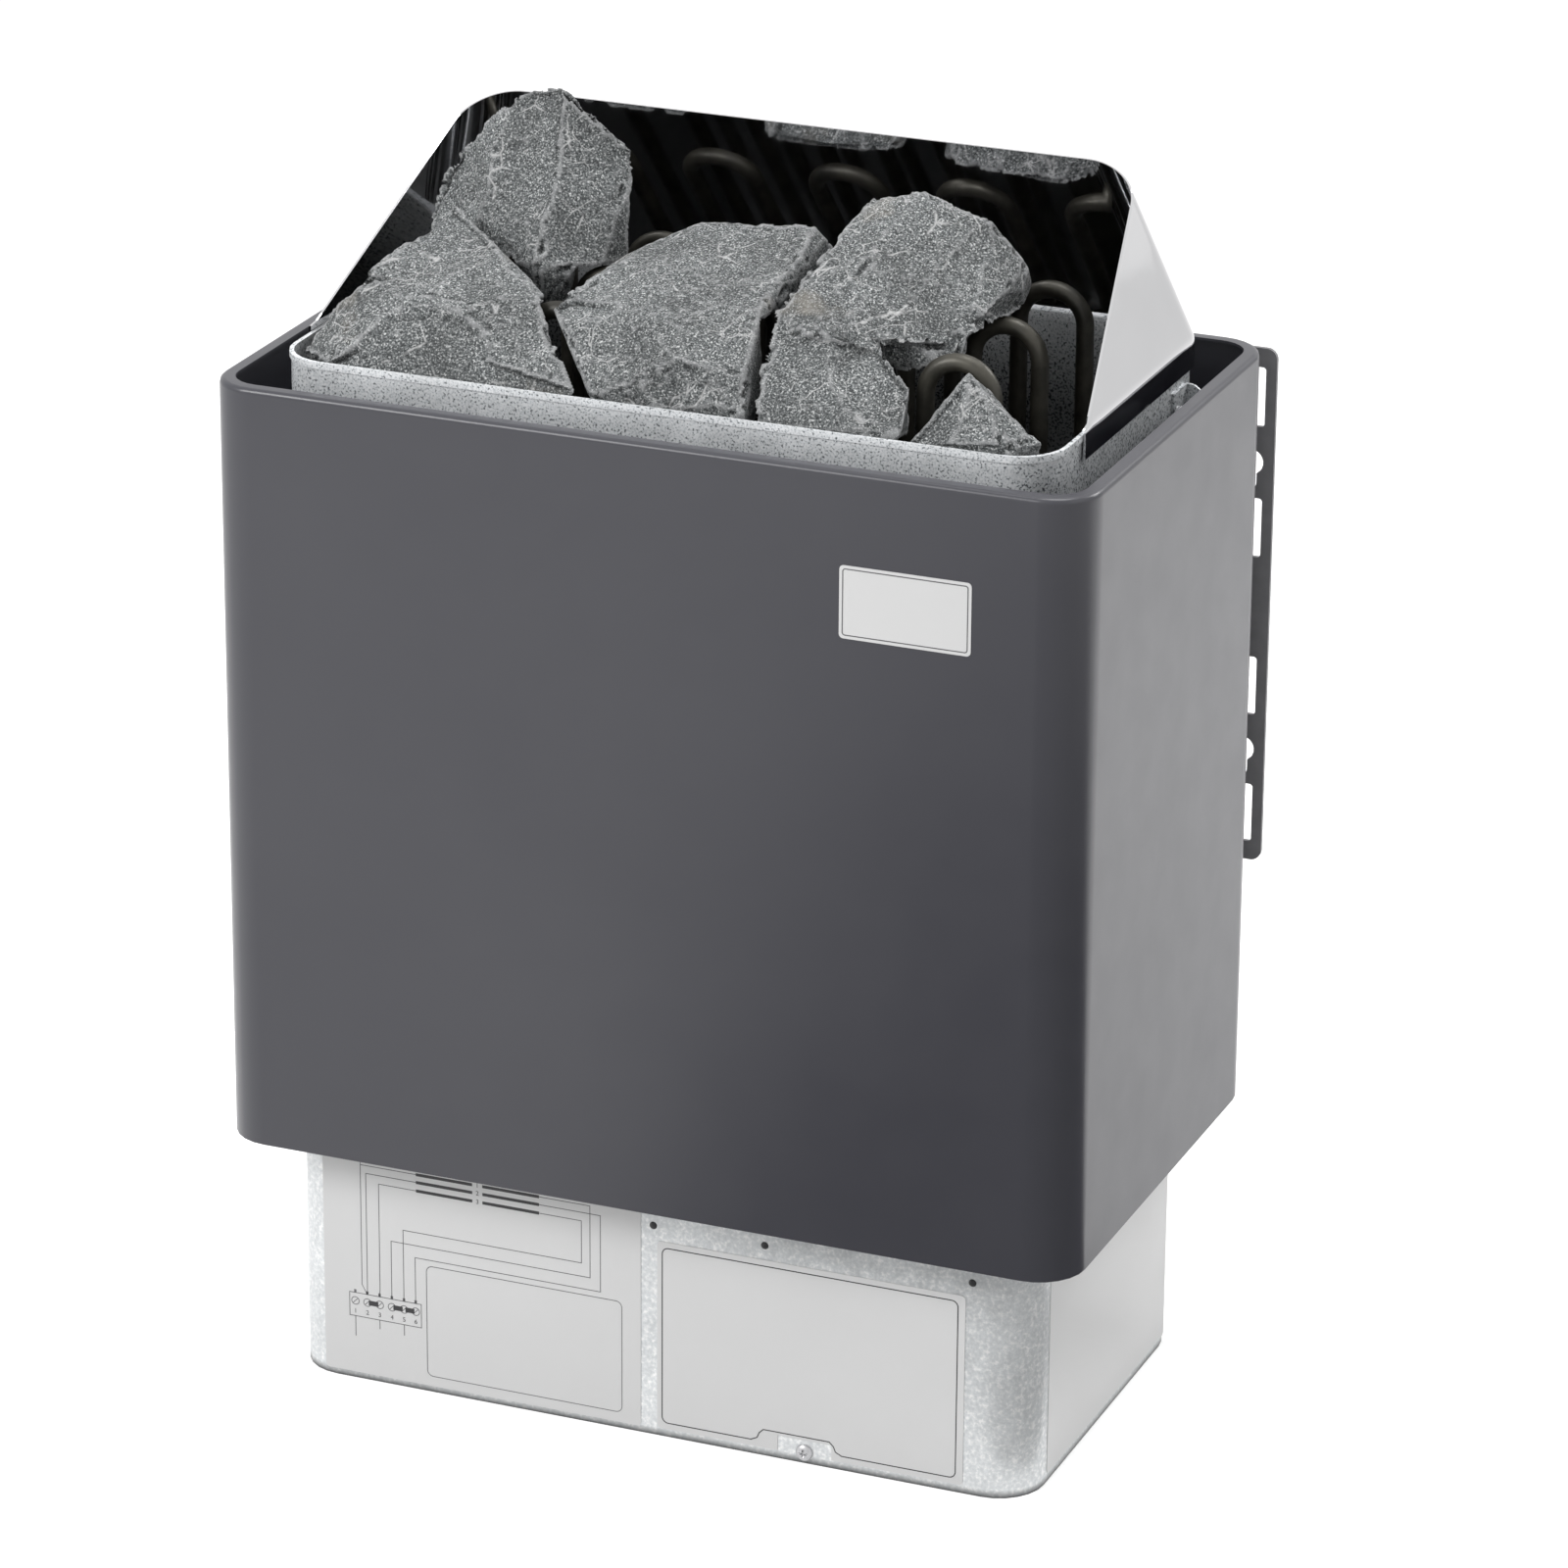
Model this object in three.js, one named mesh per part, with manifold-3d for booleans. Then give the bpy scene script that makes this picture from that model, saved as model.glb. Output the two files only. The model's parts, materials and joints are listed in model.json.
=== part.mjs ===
// A wall-hung electric sauna heater: painted cover, galvanised casing, polished guard, tubes and stones.
// Millimetres, +Z up, the front faces -Y. The origin is on the floor, in the middle of the footprint.
import * as THREE from "three";
import { ConvexGeometry } from "three/addons/geometries/ConvexGeometry.js";
import { mergeVertices } from "three/addons/utils/BufferGeometryUtils.js";
import Module from "manifold-3d";

const wasm = await Module();
wasm.setup();

// Clearances
const FIT = 0.3; // between curved or cut neighbours
const GLUE = 0.05; // between flat faces that lie on each other
const HOLE_FIT = 0.3; // radial, round a shank or a tube
const OVERCUT = 5; // how far a hole's cutter runs past the wall
const SUNK = 1; // how far one piece of a body runs into the next
const END_FLAT = 0.02; // straight part left between the two arcs of a round end

// Outer cover: a sleeve with its top edge turned in
const COVER_W = 410;
const COVER_D = 243;
const COVER_H = 360;
const COVER_R = 22;
const COVER_T = 1.2;
const COVER_LIP = 7;
const COVER_BEND = 2.5;
const COVER_Z = 120; // its lower edge above the floor

// Inner casing: stone tank above, wiring box below
const AIR_SIDE = 24.5; // between the sides of the casing and the cover
const CASING_W = COVER_W - 2 * AIR_SIDE;
const CASING_D = 198;
const CASING_H = 489;
const CASING_R = 22;
const CASING_T = 1.2;
const CASING_FORWARD = 1; // how far its centre lies in front of the cover's
const HEM_H = 3;
const HEM_T = 0.8;

// Guard: skirt round the tank, leaning back and wings
const GUARD_T = 1;
const GUARD_SKIRT = 11;
const GUARD_SEAT = 0.5; // its bend above the rim
const GUARD_RISE = 81;
const GUARD_TIP_SETBACK = 39; // from the tank's front to the tips of the wings
const GUARD_TIP_H = 2;
const GUARD_BACK_LEAN = 21.5; // degrees
const GUARD_WING_LEAN = 16.2; // degrees

// Heating tubes: one serpentine for each row
const TUBE_R = 4;
const TUBE_LEG_PITCH = 31;
const TUBE_LOOPS = 5;
const TUBE_ROWS = 3;
const TUBE_ROW_PITCH = 57;
const TUBE_ABOVE_RIM = 28;
const TUBE_ABOVE_GRATE = 14;
const TUBE_TAIL = 12; // below the terminal plate
const PIN_R = 2;
const PIN_L = 16;

// Plates inside the casing
const WIRING_H = 100; // from the floor to the top of the terminal plate
const PLATE_T = 1.5;
const PLATE_FLANGE = 9;
const GRATE_Z = 150; // top of the grate
const GRATE_T = 2;
const GRATE_FLANGE = 10;
const GRATE_SLOT_W = 7;
const GRATE_SLOT_L = 30;
const GRATE_SLOTS = 7; // along each row of tubes
const LID_T = 1.2;
const LID_FLANGE = 12;
const VENT_W = 34;
const VENT_H = 6;
const VENT_PITCH = 48;
const VENT_COUNT = 6;
const VENT_ABOVE_PLATE = 30;

// Tube fittings
const FITTING_R = 7;
const FITTING_HEX = 10;
const FITTING_HEAD = 5;
const FITTING_NUT = 5;

// Terminal block, its screws and links
const BLOCK_L = 114;
const BLOCK_D = 32;
const BLOCK_H = 24;
const BLOCK_WALL = 2;
const BLOCK_BARRIER = 6;
const WAYS = 6;
const WAY_PITCH = 18;
const LINK_W = 9;
const LINK_T = 1;
const LEAD_R = 1.6;
const LEAD_SAG = 5; // below the pin that it starts from
const LEAD_SWING = [26, 13, 14]; // out from the block, for each row

// Screws, rivets and stud
const SCREW_R = 2;
const SCREW_HEAD_R = 4;
const SCREW_HEAD_H = 2.4;
const SCREW_FLAT_R = 2.4; // flat top of the head
const SCREW_RIM_H = 1.1; // straight rim of the head
const SCREW_L = 8;
const TERMINAL_SCREW_L = 6;
const RIVET_R = 1.5;
const RIVET_HEAD_R = 2.4;
const RIVET_HEAD_H = 0.7;
const RIVET_DOME_R = 1.7;
const RIVET_DOME_H = 0.55;
const RIVET_TAIL = 1; // past the plate
const RIVET_Z = 104;
const RIVET_X = [0, 54, 153];
const LID_SCREW_X = 74;
const LID_SCREW_Z = 5.5;
const LID_SCREWS = [
  { x: LID_SCREW_X, back: false },
  { x: -LID_SCREW_X, back: true },
  { x: LID_SCREW_X, back: true },
];
const STUD_R = 2.5;
const STUD_L = 18;
const STUD_NUT_R = 4.6;
const STUD_NUT_H = 4;
const STUD_X = 95;
const STUD_FROM_BACK = 36; // from the casing's back

// Cable gland in the back wall of the wiring box
const GLAND_X = -110;
const GLAND_Z = 46;
const GLAND_R = 10;
const GLAND_BORE = 6.5;
const GLAND_HEX = 14;
const GLAND_HEAD = 6;
const GLAND_L = 10; // inside the wall
const GLAND_NOSE = 9; // outside the hexagon
const GLAND_NOSE_R = 12;
const GLAND_SIDES = 14; // of its round parts
const GLAND_NUT_H = 5;

// Spacers between casing and cover: a foot on the wall, and a fin with an ear above and an arm below
const SPACER_H = 24;
const SPACER_T = 1.2;
const SPACER_FOOT = 18; // along the wall
const SPACER_EAR = 9; // reach of the ear
const SPACER_ARM = 12; // height of the arm
const SPACER_R = 7;
const SPACER_ARM_R = 4;
const SPACER_FROM_BACK = 24; // from the casing's back to the fin
const SPACER_BELOW_TOP = 8; // upper pair, below the cover's top
const SPACER_ABOVE_EDGE = 25; // lower pair, above the cover's lower edge

// Wall rack: slotted plate as wide as the cover, with hooks into the cover's back
const RACK_H = 246;
const RACK_T = 2;
const RACK_GAP = 7; // from the cover's back to the plate
const RACK_ABOVE_EDGE = 108;
const RACK_R = 5;
const RACK_STRIP = 30;
const RACK_BAR = 30;
const RACK_WINDOW_R = 8;
const RACK_EDGE = 5; // from the plate's edge to its slots
const SLOT_W = 12;
const SLOT_L = 28;
const SLOT_R = 1.5;
const SLOT_END = 9; // from the plate's end to the first slot
const SLOT_BRIDGE = 34; // from the first slot to the next
const KEYHOLE_R = 6;
const KEYHOLE_NECK = 3;
const KEYHOLE_DROP = 10;
const HOOK_X = 110;
const HOOK_W = 30;
const HOOK_LIP = 10;
const HOOK_BELOW_TOP = 14;
const HOOK_PLAY = 1.5;
const FOOT_W = 20;
const FOOT_T = 2;

// Stickers
const STICKER_T = 0.25;
const STICKER_R = 2;
const WIRING_STICKER = { x: -85, z: 62, w: 158, h: 118 };
const DATA_STICKER = { x: 76, z: 50.5, w: 148, h: 93 };
const SIDE_STICKER = { y: 4, z: 62, w: 156, h: 116 };
const STICKER_FROM_SIDE = 80; // its middle from the cover's right side
const STICKER_BELOW_TOP = 58;
const COVER_STICKER = {
  x: COVER_W / 2 - STICKER_FROM_SIDE,
  z: COVER_Z + COVER_H - STICKER_BELOW_TOP,
  w: 60,
  h: 33,
};
const NOTCH_W = 26; // in the data sticker, round the lid screw
const NOTCH_MARGIN = 2;

// Places worked out from the sizes above
const RAD = Math.PI / 180;
const casingY = -CASING_FORWARD;
const casingFront = casingY - CASING_D / 2;
const casingBack = casingY + CASING_D / 2;
const tankHalf = CASING_W / 2 - CASING_T;
const tankFront = casingFront + CASING_T;
const tankBack = casingBack - CASING_T;
const coverTop = COVER_Z + COVER_H;
const coverBack = COVER_D / 2;
const tubeTop = CASING_H + TUBE_ABOVE_RIM;
const plateUnder = WIRING_H - PLATE_T;
const legCount = 2 * TUBE_LOOPS;
const legX = (i) => (i - (legCount - 1) / 2) * TUBE_LEG_PITCH;
const rowY = (i) => casingY + (i - (TUBE_ROWS - 1) / 2) * TUBE_ROW_PITCH;
const pinEnd = plateUnder - TUBE_TAIL - PIN_L;

// Colours and finishes
function finish(color, roughness, metalness) {
  return new THREE.MeshStandardMaterial({ color, roughness, metalness });
}
const painted = finish(0x5c5c60, 0.45, 0.2);
const galvanised = finish(0xc4c6c8, 0.5, 0.8);
const polished = finish(0xd8d8d8, 0.08, 1);
const blackSteel = finish(0x4a4b4d, 0.5, 0.5);
const oxidised = finish(0x3d3a33, 0.55, 0.6);
const zinc = finish(0xb9bbbd, 0.35, 0.9);
const brass = finish(0xb08d4a, 0.35, 0.9);
const plastic = finish(0x2c2d2f, 0.5, 0);
const ceramic = finish(0xe6e2d8, 0.4, 0);
const silicone = finish(0xb9b2a4, 0.6, 0);
const paper = finish(0xdadbdb, 0.5, 0);
const stone = finish(0x7d7f80, 0.85, 0);

// Closed geometry to solid and back
function toSolid(geometry) {
  const bare = new THREE.BufferGeometry();
  const source = geometry.index ? geometry.toNonIndexed() : geometry;
  bare.setAttribute("position", source.getAttribute("position").clone());
  const merged = mergeVertices(bare, 1e-3);
  return new wasm.Manifold(
    new wasm.Mesh({
      numProp: 3,
      vertProperties: merged.attributes.position.array,
      triVerts: new Uint32Array(merged.index.array),
    }),
  );
}
function toGeometry(solid) {
  const mesh = solid.getMesh();
  const made = new THREE.BufferGeometry();
  made.setAttribute("position", new THREE.BufferAttribute(mesh.vertProperties, 3));
  made.setIndex(new THREE.BufferAttribute(mesh.triVerts, 1));
  return made;
}
const join = (...pieces) => toGeometry(pieces.map(toSolid).reduce((a, b) => a.add(b)));
function cut(piece, cutters) {
  return toGeometry(cutters.map(toSolid).reduce((a, b) => a.subtract(b), toSolid(piece)));
}

// A box from its middle in X and Y and its lower face
function box(w, d, h, x, y, z) {
  return new THREE.BoxGeometry(w, d, h).translate(x, y, z + h / 2);
}
function roundedShape(w, h, r, Kind = THREE.Shape, x = 0, y = 0) {
  const shape = new Kind();
  const right = x + w / 2;
  const top = y + h / 2;
  const left = x - w / 2;
  const low = y - h / 2;
  shape.moveTo(left + r, low);
  shape.absarc(right - r, low + r, r, -Math.PI / 2, 0);
  shape.absarc(right - r, top - r, r, 0, Math.PI / 2);
  shape.absarc(left + r, top - r, r, Math.PI / 2, Math.PI);
  shape.absarc(left + r, low + r, r, Math.PI, 1.5 * Math.PI);
  return shape;
}
function extrude(shape, depth, curveSegments = 6) {
  return new THREE.ExtrudeGeometry(shape, { depth, bevelEnabled: false, curveSegments });
}
// A plate drawn in X and Z that stands upright, its back face at y
function upright(shape, t, y, curveSegments = 6) {
  return extrude(shape, t, curveSegments).rotateX(Math.PI / 2).translate(0, y, 0);
}
// A round bar along Y, Z or X from a to b
function bar(axis, r, a, b, x, y, z, sides = 10) {
  const made = new THREE.CylinderGeometry(r, r, Math.abs(b - a), sides);
  if (axis === "z") made.rotateX(Math.PI / 2);
  if (axis === "x") made.rotateZ(Math.PI / 2);
  const middle = { x, y, z, [axis]: (a + b) / 2 };
  return made.translate(middle.x, middle.y, middle.z);
}

// Points round a rounded rectangle, each with its outward direction in plan
function outline(w, d, r, cy, arcSteps = 6) {
  const points = [];
  const corners = [
    [w / 2 - r, cy - d / 2 + r, -90],
    [w / 2 - r, cy + d / 2 - r, 0],
    [-w / 2 + r, cy + d / 2 - r, 90],
    [-w / 2 + r, cy - d / 2 + r, 180],
  ];
  for (const [x, y, from] of corners) {
    for (let i = 0; i <= arcSteps; i++) {
      const a = (from + (90 * i) / arcSteps) * RAD;
      points.push({ x: x + r * Math.cos(a), y: y + r * Math.sin(a), nx: Math.cos(a), ny: Math.sin(a) });
    }
  }
  return points;
}
// Rows of points joined into one closed skin. A loop of rows closes on itself, and open rows get end caps.
function skin(rows, loop) {
  const n = rows[0].length;
  const position = rows.flat(2);
  const index = [];
  for (let i = 0; i < rows.length - (loop ? 0 : 1); i++) {
    for (let j = 0; j < n; j++) {
      const a = i * n + j;
      const b = i * n + ((j + 1) % n);
      const c = ((i + 1) % rows.length) * n + j;
      const d = ((i + 1) % rows.length) * n + ((j + 1) % n);
      index.push(a, c, b, b, c, d);
    }
  }
  if (!loop) {
    const last = (rows.length - 1) * n;
    for (let j = 1; j < n - 1; j++) {
      const k = n - j;
      if (k - j < 1) break;
      index.push(j - 1, j, k % n);
      index.push(last + j - 1, last + (k % n), last + j);
      if (k - j > 1) {
        index.push(j, k - 1, k % n);
        index.push(last + j, last + (k % n), last + k - 1);
      }
    }
  }
  const made = new THREE.BufferGeometry();
  made.setAttribute("position", new THREE.Float32BufferAttribute(position, 3));
  made.setIndex(index);
  return made;
}
// A section of [outset, z] points carried round a rounded rectangle
function ring(w, d, r, cy, section) {
  return skin(
    outline(w, d, r, cy).map((p) => section.map(([o, z]) => [p.x + p.nx * o, p.y + p.ny * o, z])),
    true,
  );
}
// A flat sheet that fills a rounded rectangle
function sheet(w, d, r, cy, t, z) {
  return extrude(roundedShape(w, d, r, THREE.Shape, 0, cy), t).translate(0, 0, z);
}

// A route whose steps fall on the given points
class Route extends THREE.Curve {
  constructor(points) {
    super();
    this.points = points;
  }
  getPoint(t, target = new THREE.Vector3()) {
    const last = this.points.length - 1;
    const i = Math.min(Math.floor(t * last), last - 1);
    return target.lerpVectors(this.points[i], this.points[i + 1], t * last - i);
  }
  getPointAt(u, target) {
    return this.getPoint(u, target);
  }
  getTangentAt(u, target = new THREE.Vector3()) {
    const last = this.points.length - 1;
    const i = Math.round(u * last);
    const before = this.points[Math.max(i - 1, 0)];
    const after = this.points[Math.min(i + 1, last)];
    return target.subVectors(after, before).normalize();
  }
}
function tube(points, r, sides) {
  const section = new THREE.Shape();
  for (let i = 0; i < sides; i++) {
    const a = (2 * Math.PI * i) / sides;
    if (i) section.lineTo(r * Math.cos(a), r * Math.sin(a));
    else section.moveTo(r, 0);
  }
  return new THREE.ExtrudeGeometry(section, { steps: points.length - 1, extrudePath: new Route(points) });
}
// A screw, rivet or stud turned about Y, its head towards -Y and the underside of the head at y = 0
function turned(profile, sides = 10) {
  return new THREE.LatheGeometry(
    profile.map(([r, y]) => new THREE.Vector2(r, y)),
    sides,
  );
}
const screwForm = (length) =>
  turned([
    [0, -SCREW_HEAD_H],
    [SCREW_FLAT_R, -SCREW_HEAD_H],
    [SCREW_HEAD_R, -SCREW_RIM_H],
    [SCREW_HEAD_R, 0],
    [SCREW_R, 0],
    [SCREW_R, length],
    [0, length],
  ]);

const heater = new THREE.Group();
heater.position.y = -(RACK_GAP + RACK_T - STICKER_T - GLUE) / 2;
function add(name, geometry, material) {
  const mesh = new THREE.Mesh(geometry, material);
  mesh.name = name;
  heater.add(mesh);
}

// Outer cover, with a slot in its back for each hook of the rack
const hookZ = COVER_Z + RACK_ABOVE_EDGE + RACK_H - HOOK_BELOW_TOP; // top face of the hooks
const hookSlotH = RACK_T + HOOK_LIP + HOOK_PLAY + FIT;
function outerCover() {
  const bend = [];
  const inner = [];
  const bendSteps = 4;
  for (let i = 0; i <= bendSteps; i++) {
    const a = (i / bendSteps) * 90 * RAD;
    const o = -COVER_BEND;
    const z = coverTop - COVER_BEND;
    bend.push([o + COVER_BEND * Math.cos(a), z + COVER_BEND * Math.sin(a)]);
    inner.unshift([o + (COVER_BEND - COVER_T) * Math.cos(a), z + (COVER_BEND - COVER_T) * Math.sin(a)]);
  }
  const section = [
    [0, COVER_Z],
    ...bend,
    [-COVER_LIP, coverTop],
    [-COVER_LIP, coverTop - COVER_T],
    ...inner,
    [-COVER_T, COVER_Z],
  ];
  const slots = [-HOOK_X, HOOK_X].map((x) =>
    box(HOOK_W + 2 * HOOK_PLAY, 2 * OVERCUT, hookSlotH, x, coverBack, hookZ + FIT - hookSlotH),
  );
  return cut(ring(COVER_W, COVER_D, COVER_R, 0, section), slots);
}
add("outer_cover", outerCover(), painted);

// Inner casing, with its hem, vents and holes
const spacerZ = [coverTop - SPACER_BELOW_TOP, COVER_Z + SPACER_ABOVE_EDGE];
const spacerY = casingBack - SPACER_FROM_BACK - SPACER_FOOT / 2;
const spacerScrewZ = (z) => z - SPACER_H / 2;
const ventZ = WIRING_H + VENT_ABOVE_PLATE;
function innerCasing() {
  const wall = [
    [0, 0],
    [0, CASING_H - HEM_H],
    [HEM_T, CASING_H - HEM_H],
    [HEM_T, CASING_H],
    [-CASING_T, CASING_H],
    [-CASING_T, 0],
  ];
  const holes = [];
  const wallHole = (r, x, y, z, sides) => {
    holes.push(bar("y", r, y - OVERCUT, y + OVERCUT, x, 0, z, sides));
  };
  for (const x of RIVET_X) wallHole(RIVET_R + HOLE_FIT, x, casingFront, RIVET_Z);
  for (const { x, back } of LID_SCREWS) {
    wallHole(SCREW_R + HOLE_FIT, x, back ? casingBack : casingFront, LID_SCREW_Z);
  }
  wallHole(GLAND_R + HOLE_FIT, GLAND_X, casingBack, GLAND_Z, GLAND_SIDES);
  for (const side of [-1, 1]) {
    const x = (side * CASING_W) / 2;
    for (const z of spacerZ) {
      holes.push(bar("x", SCREW_R + HOLE_FIT, x - OVERCUT, x + OVERCUT, 0, spacerY, spacerScrewZ(z)));
    }
  }
  for (let i = 0; i < VENT_COUNT; i++) {
    const x = (i - (VENT_COUNT - 1) / 2) * VENT_PITCH;
    const vent = roundedShape(VENT_W, VENT_H, (VENT_H - END_FLAT) / 2, THREE.Shape, x, ventZ);
    for (const y of [casingFront, casingBack]) holes.push(upright(vent, 2 * OVERCUT, y + OVERCUT, 2));
  }
  return cut(ring(CASING_W, CASING_D, CASING_R, casingY, wall), holes);
}
add("inner_casing", innerCasing(), galvanised);

// Guard: the outline of the tank's back and sides, ruled up along leaning lines
const guardOut = HEM_T + FIT; // inside of the skirt from the casing
const guardBend = CASING_H + GUARD_SEAT;
const guardTipY = casingFront + GUARD_TIP_SETBACK;
const guardForward = GUARD_RISE * Math.tan(GUARD_BACK_LEAN * RAD);
const guardInward = GUARD_RISE * Math.tan(GUARD_WING_LEAN * RAD);
function guard() {
  const w = CASING_W + 2 * (guardOut + GUARD_T);
  const d = CASING_D + 2 * (guardOut + GUARD_T);
  const r = CASING_R + guardOut + GUARD_T;
  const tip = (side) => ({ x: (side * w) / 2, y: guardTipY, nx: side, ny: 0 });
  const corners = outline(w, d, r, casingY).filter((p) => p.y > casingY);
  const backY = casingY + d / 2;
  const rows = [tip(1), ...corners, tip(-1)].map((p) => {
    const share = Math.max((p.y - guardTipY) / (backY - guardTipY), GUARD_TIP_H / GUARD_RISE);
    const lean = -Math.sign(p.x) * guardInward * share;
    const top = { x: lean, y: -guardForward * share, z: GUARD_RISE * share };
    const face = (o) => [p.x - p.nx * o, p.y - p.ny * o];
    const [ox, oy] = face(0);
    const [ix, iy] = face(GUARD_T);
    return [
      [ox, oy, CASING_H - GUARD_SKIRT],
      [ox, oy, guardBend],
      [ox + top.x, oy + top.y, guardBend + top.z],
      [ix + top.x, iy + top.y, guardBend + top.z],
      [ix, iy, guardBend],
      [ix, iy, CASING_H - GUARD_SKIRT],
    ];
  });
  return skin(rows, false);
}
add("guard", guard(), polished);

// Plates inside the casing: each a sheet with a turned edge that lies on the casing's wall
const innerW = 2 * tankHalf - 2 * FIT;
const innerD = CASING_D - 2 * CASING_T - 2 * FIT;
const innerR = CASING_R - CASING_T - FIT;
function pan(t, flange, z, up) {
  const section = [
    [0, up ? z : z + t - flange],
    [0, up ? z + flange : z + t],
    [-t, up ? z + flange : z + t],
    [-t, up ? z : z + t - flange],
  ];
  return join(ring(innerW, innerD, innerR, casingY, section), sheet(innerW, innerD, innerR, casingY, t, z));
}
const tubeEnds = [];
for (let row = 0; row < TUBE_ROWS; row++) {
  for (const leg of [0, legCount - 1]) tubeEnds.push({ x: legX(leg), y: rowY(row) });
}
function bottomLid() {
  const holes = LID_SCREWS.map(({ x, back }) =>
    bar("y", SCREW_R + HOLE_FIT, casingY, back ? casingBack : casingFront, x, 0, LID_SCREW_Z),
  );
  return cut(pan(LID_T, LID_FLANGE, 0, true), holes);
}
add("bottom_lid", bottomLid(), galvanised);

function terminalPlate() {
  const holes = tubeEnds.map((p) =>
    bar("z", FITTING_R + HOLE_FIT, plateUnder - OVERCUT, WIRING_H + OVERCUT, p.x, p.y, 0, 12),
  );
  for (const x of RIVET_X) {
    holes.push(bar("y", RIVET_R + HOLE_FIT, casingFront, tankFront + PLATE_T + OVERCUT, x, 0, RIVET_Z));
  }
  return cut(pan(PLATE_T, PLATE_FLANGE, plateUnder, true), holes);
}
add("terminal_plate", terminalPlate(), galvanised);

function stoneGrate() {
  const holes = tubeEnds.map((p) =>
    bar("z", TUBE_R + 2 * HOLE_FIT, GRATE_Z - GRATE_T - OVERCUT, GRATE_Z + OVERCUT, p.x, p.y, 0),
  );
  const endR = (GRATE_SLOT_W - END_FLAT) / 2;
  for (let row = 0; row < TUBE_ROWS; row++) {
    for (let i = 0; i < GRATE_SLOTS; i++) {
      const x = (i - (GRATE_SLOTS - 1) / 2) * TUBE_LEG_PITCH;
      const slot = roundedShape(GRATE_SLOT_W, GRATE_SLOT_L, endR, THREE.Shape, x, rowY(row));
      holes.push(extrude(slot, GRATE_T + 2 * OVERCUT, 1).translate(0, 0, GRATE_Z - GRATE_T - OVERCUT));
    }
  }
  return cut(pan(GRATE_T, GRATE_FLANGE, GRATE_Z - GRATE_T, false), holes);
}
add("stone_grate", stoneGrate(), galvanised);

// Heating tubes: up and down in loops, both ends down through the grate and the terminal plate
const rowNames = ["front", "middle", "rear"];
const loopR = TUBE_LEG_PITCH / 2;
function heatingTube(y) {
  const high = tubeTop - TUBE_R - loopR;
  const low = GRATE_Z + TUBE_ABOVE_GRATE + TUBE_R + loopR;
  const tail = plateUnder - TUBE_TAIL;
  const arcSteps = 6;
  const points = [new THREE.Vector3(legX(0), y, tail)];
  for (let i = 0; i < legCount - 1; i++) {
    const up = i % 2 === 0;
    for (let k = 0; k <= arcSteps; k++) {
      const a = Math.PI * (1 - k / arcSteps);
      const z = (up ? high : low) + (up ? 1 : -1) * loopR * Math.sin(a);
      points.push(new THREE.Vector3((legX(i) + legX(i + 1)) / 2 + loopR * Math.cos(a), y, z));
    }
  }
  points.push(new THREE.Vector3(legX(legCount - 1), y, tail));
  const pins = [0, legCount - 1].map((leg) => bar("z", PIN_R, pinEnd, tail + TUBE_R, legX(leg), y, 0, 10));
  return join(tube(points, TUBE_R, 8), ...pins);
}
for (let row = 0; row < TUBE_ROWS; row++) {
  add(`heating_tube_${rowNames[row]}`, heatingTube(rowY(row)), oxidised);
}

// Fittings that hold the tubes in the terminal plate: hexagon above, collar through, nut below
function tubeFitting(x, y) {
  const body = join(
    bar("z", FITTING_HEX, WIRING_H + GLUE, WIRING_H + FITTING_HEAD, x, y, 0, 6),
    bar("z", FITTING_R, plateUnder - FITTING_NUT, WIRING_H + FITTING_HEAD / 2, x, y, 0, 12),
    bar("z", FITTING_HEX, plateUnder - FITTING_NUT, plateUnder - GLUE, x, y, 0, 6),
  );
  return cut(body, [bar("z", TUBE_R + HOLE_FIT, 0, CASING_H, x, y, 0, 12)]);
}
tubeEnds.forEach((p, i) => add(`tube_fitting_${i + 1}`, tubeFitting(p.x, p.y), brass));

// Terminal block under the plate, its screws facing down
const blockLow = plateUnder - GLUE - BLOCK_H;
const wayX = (i) => (i - (WAYS - 1) / 2) * WAY_PITCH;
const linked = (i) => i > 0 && i < WAYS - 1;
function terminalBlock() {
  const barriers = [];
  for (let i = 0; i <= WAYS; i++) {
    const x = wayX(i) - WAY_PITCH / 2;
    barriers.push(box(BLOCK_WALL, BLOCK_D, BLOCK_BARRIER + SUNK, x, casingY, blockLow - BLOCK_BARRIER));
  }
  const holes = [];
  for (let i = 0; i < WAYS; i++) {
    const top = blockLow + TERMINAL_SCREW_L + OVERCUT;
    holes.push(bar("z", SCREW_R + HOLE_FIT, blockLow - BLOCK_BARRIER, top, wayX(i), casingY, 0));
    if (i % 2 === 1 && linked(i)) {
      const x = (wayX(i) + wayX(i + 1)) / 2;
      const gap = LINK_W + 2 * FIT;
      holes.push(box(2 * BLOCK_WALL, gap, BLOCK_BARRIER, x, casingY, blockLow - BLOCK_BARRIER - GLUE));
    }
  }
  return cut(join(box(BLOCK_L, BLOCK_D, BLOCK_H, 0, casingY, blockLow), ...barriers), holes);
}
add("terminal_block", terminalBlock(), ceramic);
for (let i = 0; i < WAYS; i++) {
  const seat = blockLow - GLUE - (linked(i) ? LINK_T + GLUE : 0);
  const screw = screwForm(TERMINAL_SCREW_L).rotateX(Math.PI / 2).translate(wayX(i), casingY, seat);
  add(`terminal_screw_${i + 1}`, screw, brass);
}
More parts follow.
